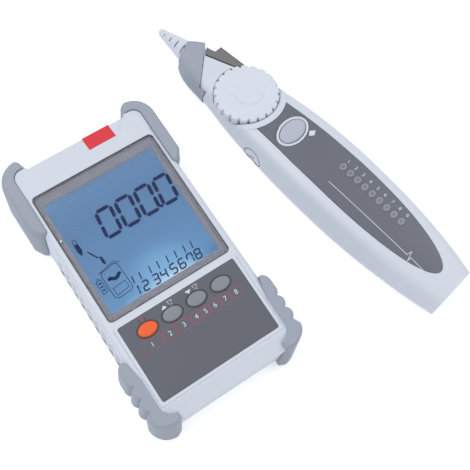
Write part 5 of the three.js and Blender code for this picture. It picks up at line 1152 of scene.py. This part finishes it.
marks = []
for number, along in zip("123456780", LIGHT_PLACES[::-1]):
    marks += lettering(number, 9.0 + (LIGHT_PLACES[-1] - along) * 0.015, along - 0.2, 3.1, turn=-90)
marks += path(np.column_stack([np.linspace(-7.6, -7.0, 30), np.linspace(86.8, 30.2, 30)]), 0.36)
pulse = [
    (-7.0, 30.6), (-4.0, 29.5), (-6.7, 28.7), (-9.3, 28.0),
    (-6.7, 27.6), (-6.8, 24.4), (-6.8, 21), (-6.9, 17.4),
]
marks += path(pulse, 0.34)
marks.append([(7.0, 114.4), (9.9, 112.2), (8.7, 111.6), (7.0, 110.6), (5.6, 111.6), (4.6, 112.4)])
label_print = printed("label_print", marks, lambda points: top_at(points) + 0.04, receiver_place)
fit(label_print, print_white, "receiver", "dark_label")

# Nine signal lights: smoky clear plastic buttons that stand a little over the label, each with a paler
# ring near its edge that is a painted highlight. They are one moulded strip, laid on the circuit board.
light_parts = [prism("light_bar", rounded(0.9, 7.9, 40.8, 91.1, 0.5), 21.35, 22.45, receiver_place)]
highlight_parts = []
for along in LIGHT_PLACES:
    lens, ring = ([on_top(light_outline(along, -inset), lift) for inset, lift in rows] for rows in (
        ((0, 0.08), (0.12, 0.17), (0.35, 0.21), (1.2, 0.24)),
        ((0.4, 0.2), (0.4, 0.25), (0.95, 0.26), (0.95, 0.2)),
    ))
    light_parts.append(skin("light", [at_height(light_outline(along), 22.4), *lens], receiver_place))
    highlight_parts.append(skin("ring", ring, receiver_place, wrapped=True))
light_grey = moulded("smoky_light", "#7c808c", 0.3, grain=0.4, depth=0.0, uneven=0.08)
# Painted highlight: the pale ring on each light's dome.
light_edge_highlight = moulded("painted_light_highlight", "#a2a6b3", 0.4, grain=0.4, depth=0.0, uneven=0.2)
fit(smooth(joined("signal_lights", light_parts)), light_grey, "receiver", "clear_plastic", "signal_light_strip")
fit(smooth(joined("signal_light_highlights", highlight_parts)), light_edge_highlight, "receiver", "clear_plastic")

# Mode key: an oval of pale grey silicone in a raised white ring, moulded apart and set in the
# label's opening. The key is domed, with a soft rim, and stands a little over the ring.
MODE_FACE = half_and_height(MODE_ALONG)[1][0]
ring_rows = [at_height(mode_oval(half), MODE_FACE + over) for half, over in (
    (10.5, -1.4), (10.5, 0.3), (10.35, 0.52), (10.05, 0.6), (9.35, 0.58), (9.1, 0.4), (9.05, -1.4),
)]
in_white(skin("mode_key_ring", ring_rows, receiver_place, wrapped=True), "receiver", "mode_ring")
cap = domed_key(
    "mode_cap", 0, MODE_ALONG, (8.7, 8.7 - MODE_SLIM), MODE_FACE - 2.5, MODE_FACE + 0.35, 0.2, 0.93, 4.5,
    receiver_place,
)
mode_pale = moulded("pale_silicone", "#c0c4d0", 0.5, depth=0.012, uneven=0.04, sheen=0.4)
fit(cap, mode_pale, "mode_key", "pale_key", "mode_button")

# Circuit boards: fibreglass under green varnish, with paler tracks that run in blocks. Boards are
# etched and cut, and the switches, the snap, the speaker and the dial's control sit on them.


def overlaid(finish, code, mask):
    """A second colour laid over the finish's own, where the mask is one."""
    tree = finish.node_tree
    surface, over = tree.nodes["Principled BSDF"], add_node(tree, "Mix", {"B": colour(code)})
    tree.links.new(surface.inputs["Base Color"].links[0].from_socket, over.inputs["A"])
    tree.links.new(mask, over.inputs["Factor"])
    tree.links.new(over.outputs["Result"], surface.inputs["Base Color"])


def plated(finish, *names):
    """The finish put on CAD nodes that show as they are."""
    for name in names:
        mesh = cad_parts[name].data
        mesh.materials.clear()
        mesh.materials.append(finish)


board_finish = moulded("varnished_board", "#2c6a4c", 0.4, grain=0.8, depth=0.01, uneven=0.25)
tree = board_finish.node_tree
tracks = add_node(tree, "TexBrick", {"Scale": 320, "Mortar Size": 0.035})
link_nodes(tree, (add_node(tree, "TexCoord"), "Object", tracks, "Vector"))
overlaid(board_finish, "#5c9a78", tracks.outputs["Fac"])
plated(board_finish, "tester_circuit_board", "receiver_circuit_board")

# Dry cells and the block battery: steel cans in printed film, dark with a warm band at one end.
# The cells lie in pairs in the tester's bay. The block stands in the receiver's tail.
for jacket_name, start, node_names in (
    ("cell_film", -38, [f"battery_cell_{count}" for count in range(1, 5)]),
    ("block_film", -48, ["block_battery"]),
):
    jacket = moulded(jacket_name, "#2d3038", 0.35, grain=0.6, depth=0.004, uneven=0.15)
    tree = jacket.node_tree
    place, axes = add_node(tree, "TexCoord"), add_node(tree, "SeparateXYZ")
    edge = add_node(tree, "MapRange", {"From Min": start * MM, "From Max": (start + 1) * MM})
    link_nodes(tree, (place, "Object", axes, "Vector"), (axes, "Y", edge, "Value"))
    overlaid(jacket, "#b98a4a", edge.outputs["Result"])
    plated(jacket, *node_names)

# Metal inside: plated steel screws, contact strips and spindle, and the brass antenna rod. They
# are turned, stamped or drawn, with the fine unevenness that plating leaves.
plated_steel = moulded("plated_steel", "#b9bcc2", 0.32, grain=0.25, depth=0.004, uneven=0.12, metal=1.0)
screws = [f"{unit}_screw_{count}" for unit in ("tester", "receiver") for count in range(1, 5)]
plated(plated_steel, *screws, "battery_contact_right", "battery_contact_left", "dial_spindle")
plated(moulded("drawn_brass", "#c9a25a", 0.3, grain=0.25, depth=0.004, uneven=0.12, metal=1.0), "antenna_rod")

# Black moulded pieces inside, and the milky block that spreads the display's light. The speaker's
# basket, the battery snap and the dial's control are plain phenolic or nylon.
plated(jack_black, "speaker", "battery_snap", "dial_control")
plated(moulded("milky_light_block", "#e8edf5", 0.35, grain=0.8, depth=0.004, uneven=0.05), "display_backlight")
